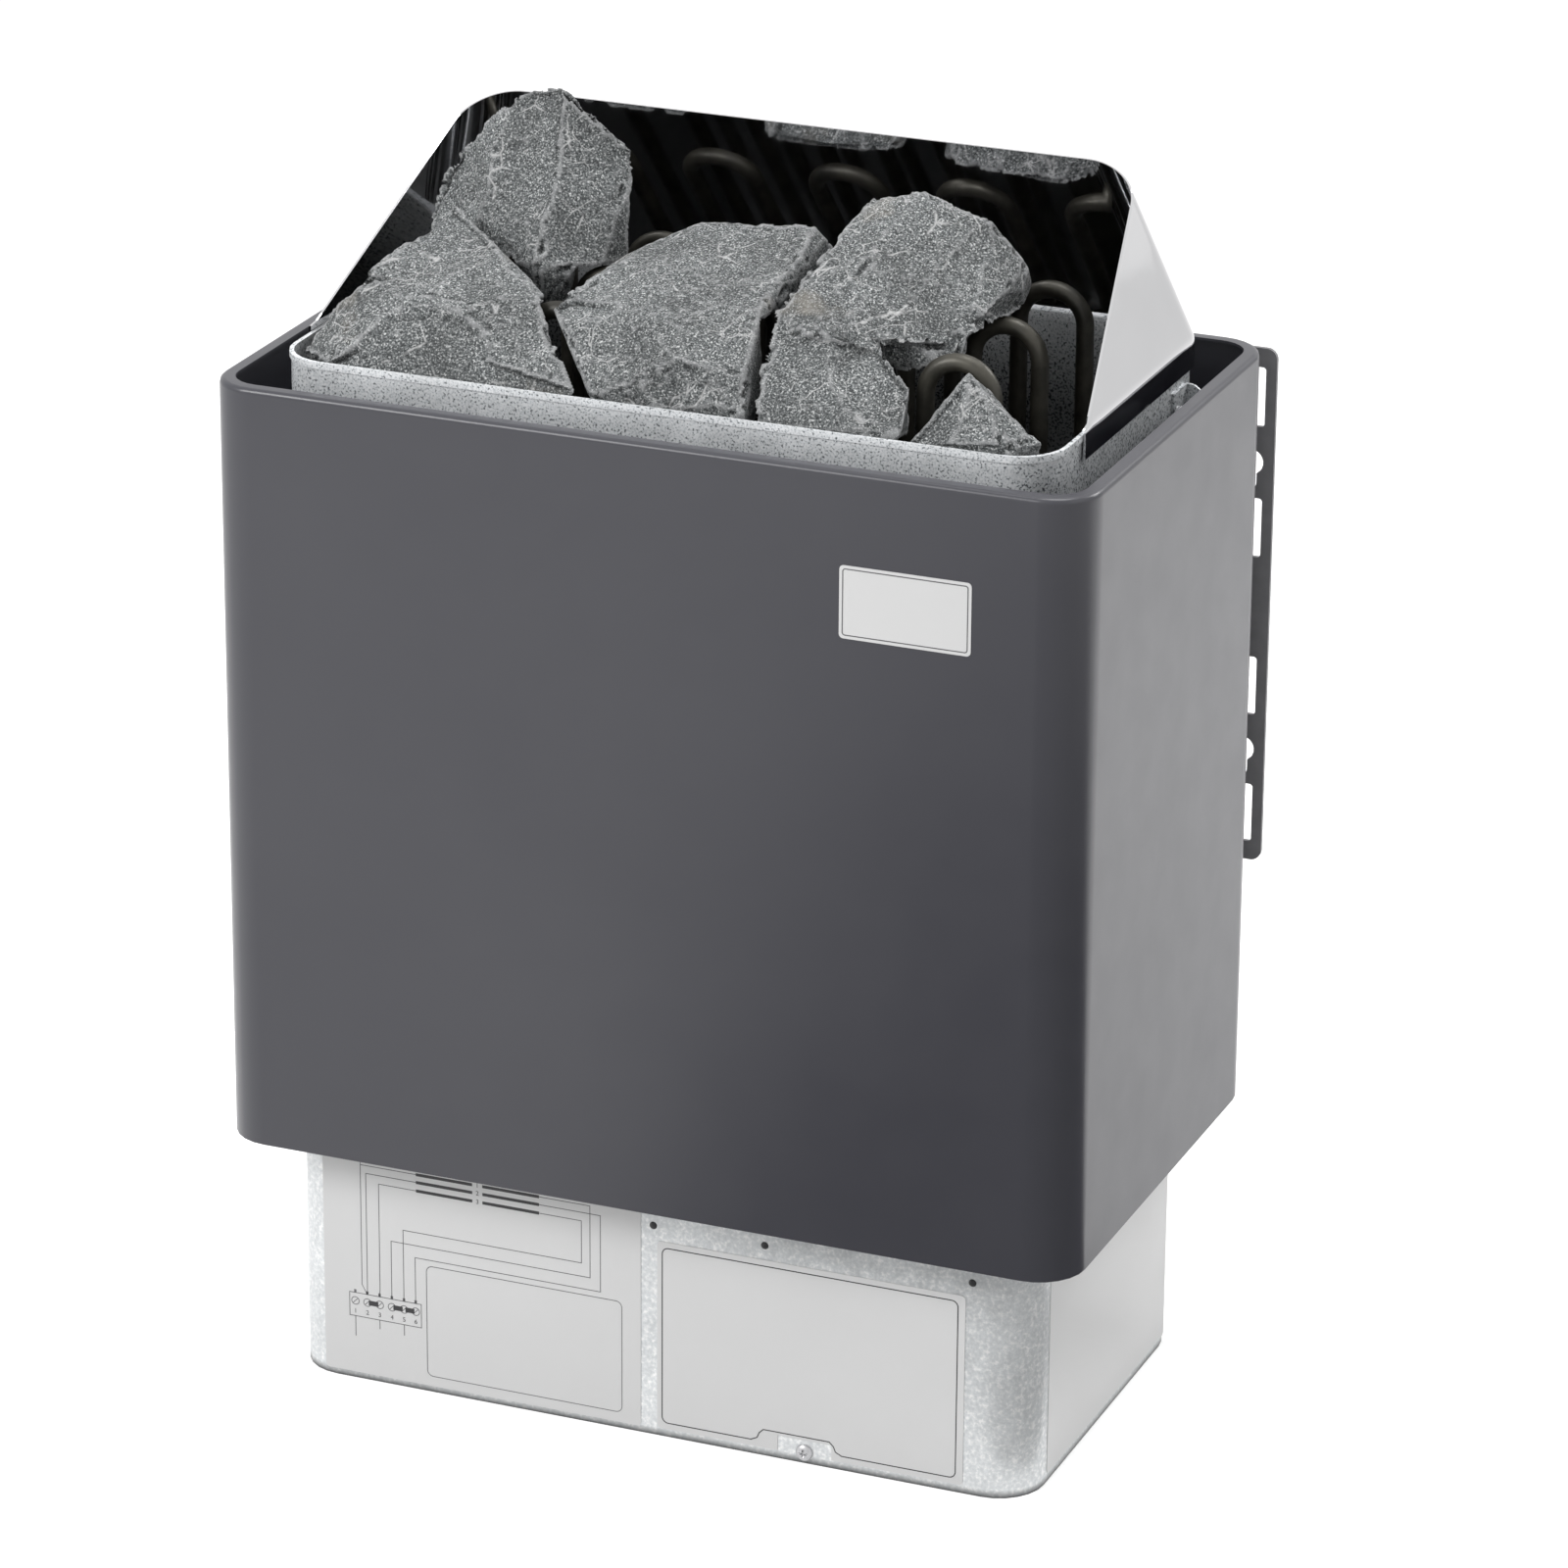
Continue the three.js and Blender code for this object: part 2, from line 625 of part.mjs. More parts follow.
for (let i = 1; i < WAYS - 1; i += 2) {
  const x = (wayX(i) + wayX(i + 1)) / 2;
  const plate = box(WAY_PITCH + LINK_W, LINK_W, LINK_T, x, casingY, blockLow - GLUE - LINK_T);
  const holes = [wayX(i), wayX(i + 1)].map((hx) =>
    bar("z", SCREW_R + HOLE_FIT, blockLow - LINK_T - OVERCUT, blockLow + OVERCUT, hx, casingY, 0),
  );
  add(`jumper_link_${(i + 1) / 2}`, cut(plate, holes), brass);
}

// Leads from the tubes' pins to the block: the rear row to its back face, the others to its front face
function lead(side, row) {
  const x = side * Math.abs(wayX(TUBE_ROWS - 1 - row));
  const pin = { x: side * legX(legCount - 1), y: rowY(row), z: pinEnd + PIN_L / 3 };
  const face = row === TUBE_ROWS - 1 ? 1 : -1;
  const entry = { y: casingY + face * (BLOCK_D / 2 + FIT), z: blockLow + BLOCK_H / 2 };
  const swing = LEAD_SWING[row];
  const across = pin.x - x;
  const low = pin.z - LEAD_SAG;
  const route = new THREE.CatmullRomCurve3([
    new THREE.Vector3(pin.x - side * (PIN_R + FIT), pin.y, pin.z),
    new THREE.Vector3(pin.x - across / 4, pin.y + (face * swing) / 7, low),
    new THREE.Vector3(x + across / 3, entry.y + face * (swing + LEAD_SAG), low),
    new THREE.Vector3(x + side * LEAD_SAG, entry.y + face * swing, entry.z - LEAD_SAG),
    new THREE.Vector3(x, entry.y + face * LEAD_SAG, entry.z),
    new THREE.Vector3(x, entry.y, entry.z),
  ]);
  return tube(route.getPoints(14), LEAD_R, 6);
}
for (const side of [-1, 1]) {
  for (let row = 0; row < TUBE_ROWS; row++) {
    add(`lead_${rowNames[row]}_${side < 0 ? "left" : "right"}`, lead(side, row), silicone);
  }
}

// Earth stud under the terminal plate
function earthStud() {
  const y = casingBack - STUD_FROM_BACK;
  const top = plateUnder - GLUE;
  const stud = bar("z", STUD_R, top - STUD_L, top, STUD_X, y, 0);
  const nut = bar("z", STUD_NUT_R, top - STUD_NUT_H, top, STUD_X, y, 0, 6);
  return join(stud, nut);
}
add("earth_stud", earthStud(), zinc);

// Cable gland: hexagon and nose outside the back wall, thread and nut inside
function cableGland() {
  const outside = casingBack + GLUE;
  const rod = (r, from, to, sides) => bar("y", r, from, to, GLAND_X, 0, GLAND_Z, sides);
  const body = join(
    rod(GLAND_R, tankBack - GLAND_L, outside + GLAND_HEAD, GLAND_SIDES),
    rod(GLAND_HEX, outside, outside + GLAND_HEAD, 6),
    rod(GLAND_NOSE_R, outside + GLAND_HEAD / 2, outside + GLAND_HEAD + GLAND_NOSE, GLAND_SIDES),
  );
  const noseEnd = outside + GLAND_HEAD + GLAND_NOSE;
  return cut(body, [rod(GLAND_BORE, tankBack - GLAND_L - OVERCUT, noseEnd + OVERCUT, GLAND_SIDES)]);
}
add("cable_gland", cableGland(), plastic);
function glandNut() {
  const inside = tankBack - GLUE;
  const end = inside - GLAND_NUT_H;
  const nut = bar("y", GLAND_HEX, end, inside, GLAND_X, 0, GLAND_Z, 6);
  const bore = bar("y", GLAND_R + HOLE_FIT, end - OVERCUT, inside + OVERCUT, GLAND_X, 0, GLAND_Z, GLAND_SIDES);
  return cut(nut, [bore]);
}
add("gland_nut", glandNut(), plastic);

// Lid screws, front and back, and the rivets of the terminal plate
LID_SCREWS.forEach(({ x, back }, i) => {
  const screw = screwForm(SCREW_L).rotateZ(back ? Math.PI : 0);
  const y = back ? casingBack + GLUE : casingFront - GLUE;
  add(`lid_screw_${i + 1}`, screw.translate(x, y, LID_SCREW_Z), zinc);
});
RIVET_X.forEach((x, i) => {
  const length = CASING_T + FIT + PLATE_T + RIVET_TAIL;
  const rivet = turned([
    [0, -RIVET_HEAD_H],
    [RIVET_DOME_R, -RIVET_DOME_H],
    [RIVET_HEAD_R, 0],
    [RIVET_R, 0],
    [RIVET_R, length],
    [0, length],
  ]);
  add(`plate_rivet_${i + 1}`, rivet.translate(x, casingFront - GLUE, RIVET_Z), blackSteel);
});

// Spacers: a foot screwed to the casing's side and a fin whose arm reaches the cover
const spacerReach = COVER_W / 2 - COVER_T - FIT - (CASING_W / 2 + GLUE);
function spacer(side, z) {
  const wall = CASING_W / 2 + GLUE;
  const ear = wall + SPACER_EAR;
  const arm = wall + spacerReach;
  const low = z - SPACER_H;
  const armTop = low + SPACER_ARM;
  const fin = new THREE.Shape();
  fin.moveTo(wall, low);
  fin.lineTo(arm - SPACER_ARM_R, low);
  fin.absarc(arm - SPACER_ARM_R, low + SPACER_ARM_R, SPACER_ARM_R, -Math.PI / 2, 0);
  fin.absarc(arm - SPACER_ARM_R, armTop - SPACER_ARM_R, SPACER_ARM_R, 0, Math.PI / 2);
  fin.lineTo(ear, armTop);
  fin.absarc(ear - SPACER_R, z - SPACER_R, SPACER_R, 0, Math.PI / 2);
  fin.lineTo(wall, z);
  const made = cut(
    join(
      upright(fin, SPACER_T, spacerY + SPACER_FOOT / 2),
      box(SPACER_T, SPACER_FOOT, SPACER_H, wall + SPACER_T / 2, spacerY, low),
    ),
    [bar("x", SCREW_R + HOLE_FIT, wall - OVERCUT, wall + OVERCUT, 0, spacerY, spacerScrewZ(z))],
  );
  return side < 0 ? toGeometry(toSolid(made).mirror([1, 0, 0])) : made;
}
for (const side of [-1, 1]) {
  spacerZ.forEach((z, i) => {
    const label = `${i ? "lower" : "upper"}_${side < 0 ? "left" : "right"}`;
    add(`spacer_${label}`, spacer(side, z), galvanised);
    const x = side * (CASING_W / 2 + 2 * GLUE + SPACER_T);
    const screw = screwForm(SCREW_L).rotateZ((side * Math.PI) / 2);
    add(`spacer_screw_${label}`, screw.translate(x, spacerY, spacerScrewZ(z)), zinc);
  });
}

// Wall rack: a window, two slotted strips, hooks at the top and feet at the bottom
const rackW = COVER_W;
const rackZ = COVER_Z + RACK_ABOVE_EDGE + RACK_H / 2;
const rackFront = coverBack + RACK_GAP;
function keyhole(x, z) {
  const hole = new THREE.Path();
  const half = Math.asin(KEYHOLE_NECK / KEYHOLE_R);
  hole.moveTo(x + KEYHOLE_NECK, z - KEYHOLE_R * Math.cos(half));
  const thirds = 3;
  const sweep = (2 * Math.PI - 2 * half) / thirds;
  for (let i = 0; i < thirds; i++) {
    const from = -Math.PI / 2 + half + i * sweep;
    hole.absarc(x, z, KEYHOLE_R, from, from + sweep);
  }
  hole.absarc(x, z - KEYHOLE_DROP, KEYHOLE_NECK, Math.PI, 2 * Math.PI);
  return hole;
}
function wallRack() {
  const plate = roundedShape(rackW, RACK_H, RACK_R, THREE.Shape, 0, rackZ);
  const windowW = rackW - 2 * RACK_STRIP;
  plate.holes.push(roundedShape(windowW, RACK_H - 2 * RACK_BAR, RACK_WINDOW_R, THREE.Path, 0, rackZ));
  const slotX = rackW / 2 - RACK_EDGE - SLOT_W / 2;
  const outerSlot = RACK_H / 2 - SLOT_END - SLOT_L / 2;
  const innerSlot = outerSlot - SLOT_L - SLOT_BRIDGE;
  for (const x of [-slotX, slotX]) {
    for (const z of [-outerSlot, -innerSlot, innerSlot, outerSlot]) {
      plate.holes.push(roundedShape(SLOT_W, SLOT_L, SLOT_R, THREE.Path, x, rackZ + z));
    }
    for (const side of [-1, 1]) {
      plate.holes.push(keyhole(x, rackZ + (side * (outerSlot + innerSlot)) / 2));
    }
  }
  const pieces = [upright(plate, RACK_T, rackFront + RACK_T, 3)];
  const lipBack = coverBack - COVER_T - FIT;
  for (const x of [-HOOK_X, HOOK_X]) {
    const reach = rackFront + RACK_T / 2 - (lipBack - RACK_T);
    pieces.push(box(HOOK_W, reach, RACK_T, x, lipBack - RACK_T + reach / 2, hookZ - RACK_T));
    pieces.push(box(HOOK_W, RACK_T, RACK_T + HOOK_LIP, x, lipBack - RACK_T / 2, hookZ - RACK_T));
    const foot = RACK_GAP + RACK_T / 2 - FIT;
    const footZ = rackZ - RACK_H / 2 + RACK_BAR / 2;
    pieces.push(box(FOOT_W, foot, FOOT_T, x, coverBack + FIT + foot / 2, footZ));
  }
  return join(...pieces);
}
add("wall_rack", wallRack(), blackSteel);

// Stones: each a few rough lumps, drawn against the lines of the bed that they lie in
const bed = {
  left: -tankHalf + FIT,
  right: tankHalf - FIT,
  front: tankFront + FIT,
  beforeFirst: rowY(0) - TUBE_R - FIT,
  afterFirst: rowY(0) + TUBE_R + FIT,
  beforeSecond: rowY(1) - TUBE_R - FIT,
  rest: tubeTop + FIT,
};
function lump(points) {
  return new ConvexGeometry(points.map(([x, y, z]) => new THREE.Vector3(x, y, bed.rest + z)));
}
const stoneLumps = {
  stone_back_left: [
    [
      [-102, casingY + 21, 71],
      [-94, casingY + 19, 72],
      [-119, casingY + 23, 65],
      [-137, casingY + 23, 48],
      [bed.left + 27, casingY + 19, 27],
      [bed.left + 22, casingY + 11, 5],
      [bed.left + 23, casingY + 8, 0],
      [-84, casingY + 23, 59],
      [-62, casingY + 25, 47],
      [-62, casingY + 23, 30],
      [-63, casingY + 19, 6],
      [-60, casingY + 10, 0],
      [-66, casingY - 4, 0],
      [-88, casingY + 9, 35],
      [-104, casingY + 3, 26],
      [-132, casingY, 12],
      [-136, casingY, 0],
      [-108, bed.beforeSecond - 7, 2],
      [-90, bed.beforeSecond - 15, 0],
      [-100, casingY + 40, 40],
      [-130, casingY + 40, 0],
      [-75, casingY + 40, 0],
    ],
    [
      [-104, bed.beforeSecond, 8],
      [-76, bed.beforeSecond, 6],
      [-104, bed.beforeSecond - 8, 2],
      [-90, bed.beforeSecond - 15, 2],
      [-76, bed.beforeSecond - 7, 1],
      [-90, bed.beforeSecond - 14, -18],
      [-98, bed.beforeSecond - 4, -24],
      [-82, bed.beforeSecond - 4, -24],
    ],
  ],
  stone_front_left: [
    [
      [-134, bed.beforeSecond - 5, 21],
      [-144, bed.beforeSecond - 13, 12],
      [-153, bed.afterFirst + 8, 4],
      [-152, bed.beforeSecond - 12, 0],
      [-156, bed.beforeFirst, 0],
      [-130, bed.beforeFirst - 8, 1],
      [-98, bed.beforeFirst - 12, 0],
      [-68, bed.beforeFirst - 3, 1],
      [-67, bed.beforeFirst + 2, 0],
      [-112, bed.beforeSecond - 15, 7],
      [-84, bed.afterFirst + 12, 2],
      [-82, bed.afterFirst + 10, 0],
      [-114, bed.beforeSecond - 15, 0],
      [-136, bed.beforeSecond - 6, 0],
    ],
    [
      [bed.left + 3, bed.front + 20, -31],
      [bed.left + 13, bed.beforeFirst - 3, -12],
      [-152, bed.beforeFirst, 2],
      [-130, bed.beforeFirst - 8, 1],
      [-98, bed.beforeFirst - 15, -3],
      [-69, bed.beforeFirst - 4, 0],
      [-72, bed.beforeFirst, 2],
      [-39, bed.front + 4, -28],
      [-42, bed.front + 3, -36],
      [bed.left + 21, bed.front + 5, -31],
      [-130, bed.front + 12, -14],
      [bed.left + 6, bed.front + 21, -38],
      [bed.left + 24, bed.front + 4, -38],
      [-150, bed.beforeFirst - 1, -36],
      [-76, bed.beforeFirst - 1, -36],
    ],
    [
      [-86, bed.afterFirst + 12, -8],
      [-90, bed.afterFirst + 13, 2],
      [-86, bed.afterFirst + 2, 2],
      [-118, bed.afterFirst + 2, 2],
      [-116, bed.beforeSecond - 18, 4],
      [-118, bed.beforeSecond - 20, -20],
      [-98, bed.afterFirst + 14, -20],
      [-92, bed.afterFirst + 3, -20],
      [-118, bed.afterFirst + 3, -20],
    ],
  ],
  stone_centre: [
    [
      [-62, bed.beforeFirst + 2, 1],
      [-52, bed.beforeSecond - 6, 8],
      [-26, casingY + 11, 22],
      [0, casingY + 15, 24],
      [28, casingY + 17, 24],
      [32, casingY + 17, 19],
      [32, casingY + 5, 8],
      [30, casingY - 3, 0],
      [-18, casingY + 13, 0],
      [-48, bed.beforeSecond - 6, 0],
      [24, bed.afterFirst + 14, 9],
      [31, bed.afterFirst - 4, 7],
      [33, bed.beforeFirst, 3],
      [-54, bed.beforeFirst, 0],
      [0, bed.beforeFirst - 8, 4],
      [-12, bed.beforeSecond - 5, 18],
      [-40, casingY + 44, 0],
      [-34, casingY + 50, 5],
      [-6, casingY + 54, 9],
      [22, casingY + 50, 6],
      [27, casingY + 42, 0],
    ],
    [
      [-62, bed.beforeFirst - 4, 0],
      [-56, bed.beforeFirst, 3],
      [-31, bed.front + 3, -29],
      [-29, bed.front + 4, -36],
      [-46, bed.beforeFirst - 1, -34],
      [0, bed.beforeFirst - 10, 3],
      [33, bed.beforeFirst, 4],
      [36, bed.front + 13, -12],
      [40, bed.front + 3, -28],
      [39, bed.front + 5, -36],
      [36, bed.beforeFirst - 1, -36],
      [10, bed.front + 8, -10],
    ],
  ],
  stone_right: [
    [
      [39, bed.beforeFirst + 2, 8],
      [44, bed.afterFirst + 4, 9],
      [49, bed.beforeSecond - 24, 20],
      [57, bed.beforeSecond - 4, 24],
      [55, casingY + 3, 38],
      [58, casingY + 9, 44],
      [79, casingY + 11, 48],
      [110, casingY + 13, 38],
      [127, casingY + 15, 19],
      [126, casingY + 9, 1],
      [106, bed.beforeSecond - 14, 11],
      [103, bed.beforeSecond - 4, 21],
      [90, bed.beforeFirst - 4, 0],
      [46, bed.beforeFirst - 6, 0],
      [60, bed.beforeFirst - 8, 4],
      [60, casingY + 30, 0],
      [110, casingY + 32, 0],
      [124, casingY + 20, 0],
      [84, casingY + 31, 24],
      [118, bed.afterFirst + 15, 0],
      [48, casingY + 46, 0],
      [56, casingY + 54, 8],
      [84, casingY + 59, 13],
      [108, casingY + 55, 6],
      [118, casingY + 46, 0],
    ],
    [
      [41, bed.front + 12, -17],
      [46, bed.front + 3, -34],
      [44, bed.beforeFirst - 4, 0],
      [41, bed.beforeFirst, 6],
      [92, bed.beforeFirst - 4, -8],
      [109, bed.front + 18, -11],
      [111, bed.front + 3, -28],
      [106, bed.front + 4, -38],
      [50, bed.front + 4, -40],
      [50, bed.beforeFirst - 1, -38],
      [104, bed.beforeFirst - 4, -36],
      [86, bed.beforeFirst, 2],
    ],
    [
      [119, bed.afterFirst + 13, -12],
      [119, bed.afterFirst + 14, 2],
      [84, bed.afterFirst + 3, 4],
      [84, bed.afterFirst + 3, -16],
      [108, bed.beforeSecond - 3, -12],
      [106, bed.beforeSecond - 14, 10],
      [86, bed.beforeSecond - 3, 8],
      [88, bed.beforeSecond - 3, -14],
      [116, bed.afterFirst + 5, -10],
    ],
  ],
  stone_front_right: [
    [
      [137, bed.front + 18, -1],
      [134, bed.front + 24, -3],
      [116, bed.front, -30],
      [120, bed.front + 4, -52],
      [bed.right - 8, bed.front + 13, -25],
      [bed.right - 20, bed.front, -25],
      [bed.right - 20, bed.front + 6, -54],
      [bed.right - 11, bed.beforeFirst - 7, -54],
      [142, bed.beforeFirst, -16],
      [118, bed.beforeFirst, -34],
      [122, bed.beforeFirst - 3, -56],
    ],
  ],
};
for (const [name, lumps] of Object.entries(stoneLumps)) add(name, join(...lumps.map(lump)), stone);

// Stickers on the wiring box and on the cover
function frontSticker(place, faceY) {
  const shape = roundedShape(place.w, place.h, STICKER_R, THREE.Shape, place.x, place.z);
  return upright(shape, STICKER_T, faceY - GLUE, 3);
}
add("wiring_sticker", frontSticker(WIRING_STICKER, casingFront), paper);
function dataSticker() {
  const high = LID_SCREW_Z + SCREW_HEAD_R + NOTCH_MARGIN;
  const notch = box(NOTCH_W, 2 * OVERCUT, 2 * high, LID_SCREW_X, casingFront, -high);
  return cut(frontSticker(DATA_STICKER, casingFront), [notch]);
}
add("data_sticker", dataSticker(), paper);
add("cover_sticker", frontSticker(COVER_STICKER, -COVER_D / 2), paper);
function sideSticker() {
  const shape = roundedShape(SIDE_STICKER.w, SIDE_STICKER.h, STICKER_R);
  const made = extrude(shape, STICKER_T, 3).rotateX(Math.PI / 2).rotateZ(Math.PI / 2);
  return made.translate(CASING_W / 2 + GLUE, casingY + SIDE_STICKER.y, SIDE_STICKER.z);
}
add("side_sticker", sideSticker(), paper);

export default heater;
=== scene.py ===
import json
import math

import bpy
import numpy as np
from mathutils import Matrix, Vector


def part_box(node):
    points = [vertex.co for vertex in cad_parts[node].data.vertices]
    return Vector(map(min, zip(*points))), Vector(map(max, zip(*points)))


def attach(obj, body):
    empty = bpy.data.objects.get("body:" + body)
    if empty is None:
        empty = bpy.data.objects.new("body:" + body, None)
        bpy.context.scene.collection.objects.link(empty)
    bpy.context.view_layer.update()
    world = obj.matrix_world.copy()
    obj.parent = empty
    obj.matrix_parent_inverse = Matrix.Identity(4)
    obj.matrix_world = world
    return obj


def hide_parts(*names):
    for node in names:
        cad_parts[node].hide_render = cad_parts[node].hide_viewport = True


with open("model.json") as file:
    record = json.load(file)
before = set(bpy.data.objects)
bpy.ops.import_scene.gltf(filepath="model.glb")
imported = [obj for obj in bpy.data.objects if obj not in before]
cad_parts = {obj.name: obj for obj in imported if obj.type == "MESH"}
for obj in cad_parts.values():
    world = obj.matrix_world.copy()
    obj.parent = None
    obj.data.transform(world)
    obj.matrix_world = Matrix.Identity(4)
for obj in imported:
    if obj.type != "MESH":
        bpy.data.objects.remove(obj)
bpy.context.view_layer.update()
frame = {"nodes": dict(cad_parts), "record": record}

MM = 0.001
WELD = 0.01 * MM
nodes = frame["nodes"]

# Sizes that the pieces below share with the solids
CASING_H = 0.489
CASING_W = 0.361
CASING_D = 0.198
CASING_R = 0.022
CASING_T = 0.0012
HEM_T = 0.0008
FIT = 0.0003
GUARD_T = 0.001
GUARD_SKIRT = 0.011
GUARD_SEAT = 0.0005
GUARD_RISE = 0.081
GUARD_TIP_SETBACK = 0.039
GUARD_TIP_H = 0.002
GUARD_BACK_LEAN = math.radians(21.5)
GUARD_WING_LEAN = math.radians(16.2)
TUBE_R = 0.004
TUBE_LEG_PITCH = 0.031
TUBE_LOOPS = 5
TUBE_ABOVE_GRATE = 0.014
GRATE_TOP = 0.150
PIN_R = 0.002
PIN_L = 0.016
SCREW_HEAD_R = 0.004
SCREW_HEAD_H = 0.0024
BODY = "heater"
casing_low, casing_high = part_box("inner_casing")
CASING_AXIS = (casing_low + casing_high) / 2


# Mesh helpers

def cells(rows, cols, wrap_rows=False, wrap_cols=False):
    """Faces of a grid: a cell joins points (i, j), (i, j+1), (i+1, j+1) and (i+1, j), wrapped where asked."""
    i = np.arange(rows if wrap_rows else rows - 1)[:, None]
    j = np.arange(cols if wrap_cols else cols - 1)[None, :]
    i2 = (i + 1) % rows
    j2 = (j + 1) % cols
    corners = [i * cols + j, i * cols + j2, i2 * cols + j2, i2 * cols + j]
    return np.stack(np.broadcast_arrays(*corners), -1).reshape(-1, 4)


def make_mesh(name, points, faces, sharp_angle=35):
    """A smooth mesh from points and faces, creased where faces meet at more than sharp_angle degrees."""
    mesh = bpy.data.meshes.new(name)
    mesh.from_pydata(np.asarray(points).reshape(-1, 3).tolist(), [], [list(f) for f in faces])
    mesh.validate()
    mesh.shade_smooth()
    mesh.set_sharp_from_angle(angle=math.radians(sharp_angle))
    return mesh


def add_object(name, data):
    """A new object in the scene."""
    made = bpy.data.objects.new(name, data)
    bpy.context.scene.collection.objects.link(made)
    return made


def place(name, mesh, material, body=BODY, stands_for=()):
    """Puts a mesh into the scene as a piece that rides on a body and may stand for solids."""
    made = add_object(name, mesh)
    made.data.materials.append(material)
    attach(made, body)
    if stands_for:
        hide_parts(*stands_for)


def rounded_plan(w, d, r, cy, steps):
    """Points round a rounded rectangle from the front right, and their outward directions.
    Each point is its corner's centre plus r (cos a, sin a)."""
    turn = np.linspace(0, np.pi / 2, steps + 1)
    starts = np.radians([-90, 0, 90, 180])
    cx = np.array([1, 1, -1, -1]) * (w / 2 - r)
    mid = cy + np.array([-1, 1, 1, -1]) * (d / 2 - r)
    a = (starts[:, None] + turn[None, :]).ravel()
    out = np.stack([np.cos(a), np.sin(a)], 1)
    centres = np.stack([np.repeat(cx, steps + 1), np.repeat(mid, steps + 1)], 1)
    return centres + r * out, out


# Noise for rough surfaces

LATTICE = 256


def gradient_noise(p, seed):
    """Smooth noise: a random direction at each whole-number lattice point, dotted with the offset from it,
    and blended between the eight corners by the fade 6t^5 - 15t^4 + 10t^3."""
    rng = np.random.default_rng(seed)
    shuffle = rng.permutation(LATTICE)
    ways = rng.normal(size=(LATTICE, 3))
    ways /= np.linalg.norm(ways, axis=1, keepdims=True)
    cell = np.floor(p).astype(np.int64)
    f = p - cell
    fade = f * f * f * (f * (f * 6 - 15) + 10)
    total = np.zeros(len(p))
    for corner in np.ndindex(2, 2, 2):
        x, y, z = ((cell + corner) % LATTICE).T
        pick = shuffle[(shuffle[(shuffle[x] + y) % LATTICE] + z) % LATTICE]
        share = np.prod(np.where(corner, fade, 1 - fade), axis=1)
        total += share * np.einsum("ij,ij->i", ways[pick], f - corner)
    return total


def layered_noise(p, seed, octaves):
    """Sum of gradient noises, each at twice the pitch and half the height of the one before."""
    return sum(gradient_noise(p * 2**k, seed + k) / 2**k for k in range(octaves))


# Material helpers

def start_material(name):
    """A new material with its node tree and its Principled shader."""
    made = bpy.data.materials.new(name)
    made.use_nodes = True
    return made, made.node_tree, made.node_tree.nodes["Principled BSDF"]


def add_node(tree, kind, links=None, **inputs):
    """A node with its settings and values; links maps an input name to the output socket that feeds it."""
    made = tree.nodes.new("ShaderNode" + kind)
    for name, value in inputs.items():
        key = name.replace("_", " ").title()
        if key in made.inputs:
            made.inputs[key].default_value = value
        else:
            setattr(made, name, value)
    for name, socket in (links or {}).items():
        tree.links.new(socket, made.inputs[name])
    return made


def place_of(tree):
    """The piece's own coordinates, in metres."""
    return add_node(tree, "TexCoord").outputs["Object"]


def noise(tree, scale, detail=2.0, roughness=0.5, where=None):
    """A noise texture of about scale lumps to the metre."""
    made = add_node(
        tree, "TexNoise", {"Vector": where or place_of(tree)},
        scale=scale, detail=detail, roughness=roughness,
    )
    return made.outputs["Fac"]


def ramp(tree, fac, stops):
    """A colour ramp with (place, colour) stops, where a colour may be one grey."""
    made = add_node(tree, "ValToRGB", {"Fac": fac})
    elements = made.color_ramp.elements
    while len(elements) < len(stops):
        elements.new(0.5)
    for element, (at, colour) in zip(elements, stops):
        element.position = at
        rgb = (colour,) * 3 if np.isscalar(colour) else colour
        element.color = (*rgb, 1)
    return made.outputs["Color"]


def mix(tree, fac, a, b, blend="MIX"):
    """Two colours mixed. Each of fac, a and b is a socket, a grey or a colour."""
    made = tree.nodes.new("ShaderNodeMix")
    made.data_type = "RGBA"
    made.blend_type = blend
    sockets = [made.inputs[0], made.inputs[6], made.inputs[7]]
    for socket, value in zip(sockets, (fac, a, b)):
        if isinstance(value, bpy.types.NodeSocket):
            tree.links.new(value, socket)
        elif socket.type == "RGBA":
            rgb = (value,) * 3 if np.isscalar(value) else value
            socket.default_value = (*rgb, 1)
        else:
            socket.default_value = value
    return made.outputs[2]


def bump(tree, shader, height, strength, distance):
    """A bump of that height, in metres, on the shader's normal."""
    made = add_node(tree, "Bump", {"Height": height}, strength=strength, distance=distance)
    tree.links.new(made.outputs["Normal"], shader.inputs["Normal"])


# Materials

def painted_cover():
    """Satin dark grey powder coat: faint mottling of its tone and gloss."""
    made, tree, shader = start_material("painted_cover")
    tone = ramp(tree, noise(tree, 9, 3), [(0.3, (0.045, 0.045, 0.055)), (0.7, (0.050, 0.050, 0.060))])
    tree.links.new(tone, shader.inputs["Base Color"])
    gloss = ramp(tree, noise(tree, 40, 4), [(0.3, 0.285), (0.7, 0.33)])
    tree.links.new(gloss, shader.inputs["Roughness"])
    return made


# Stops of the zinc's ramps: a height, and the share at that height
# Painted shadow: the sheet's foot, by the floor, darkens to a thin black band
FLOOR_SHADOW_DARK = (1.2 * MM, 0.05)
FLOOR_SHADOW_END = (1.7 * MM, 1.0)
SPECKS_FROM = (0.36, 0.0)
SPECKS_FULL = (0.44, 1.0)
SOOT_MOST = (0.448, 0.08)
SOOT_NONE = (0.482, 0.0)
# Heat tint and painted shade: the tank's inside darkens further down from the rim
HEAT_AND_SHADE_DEEP = (CASING_H - 45 * MM, 0.28)
HEAT_AND_SHADE_RIM = (CASING_H - 12 * MM, 0.78)


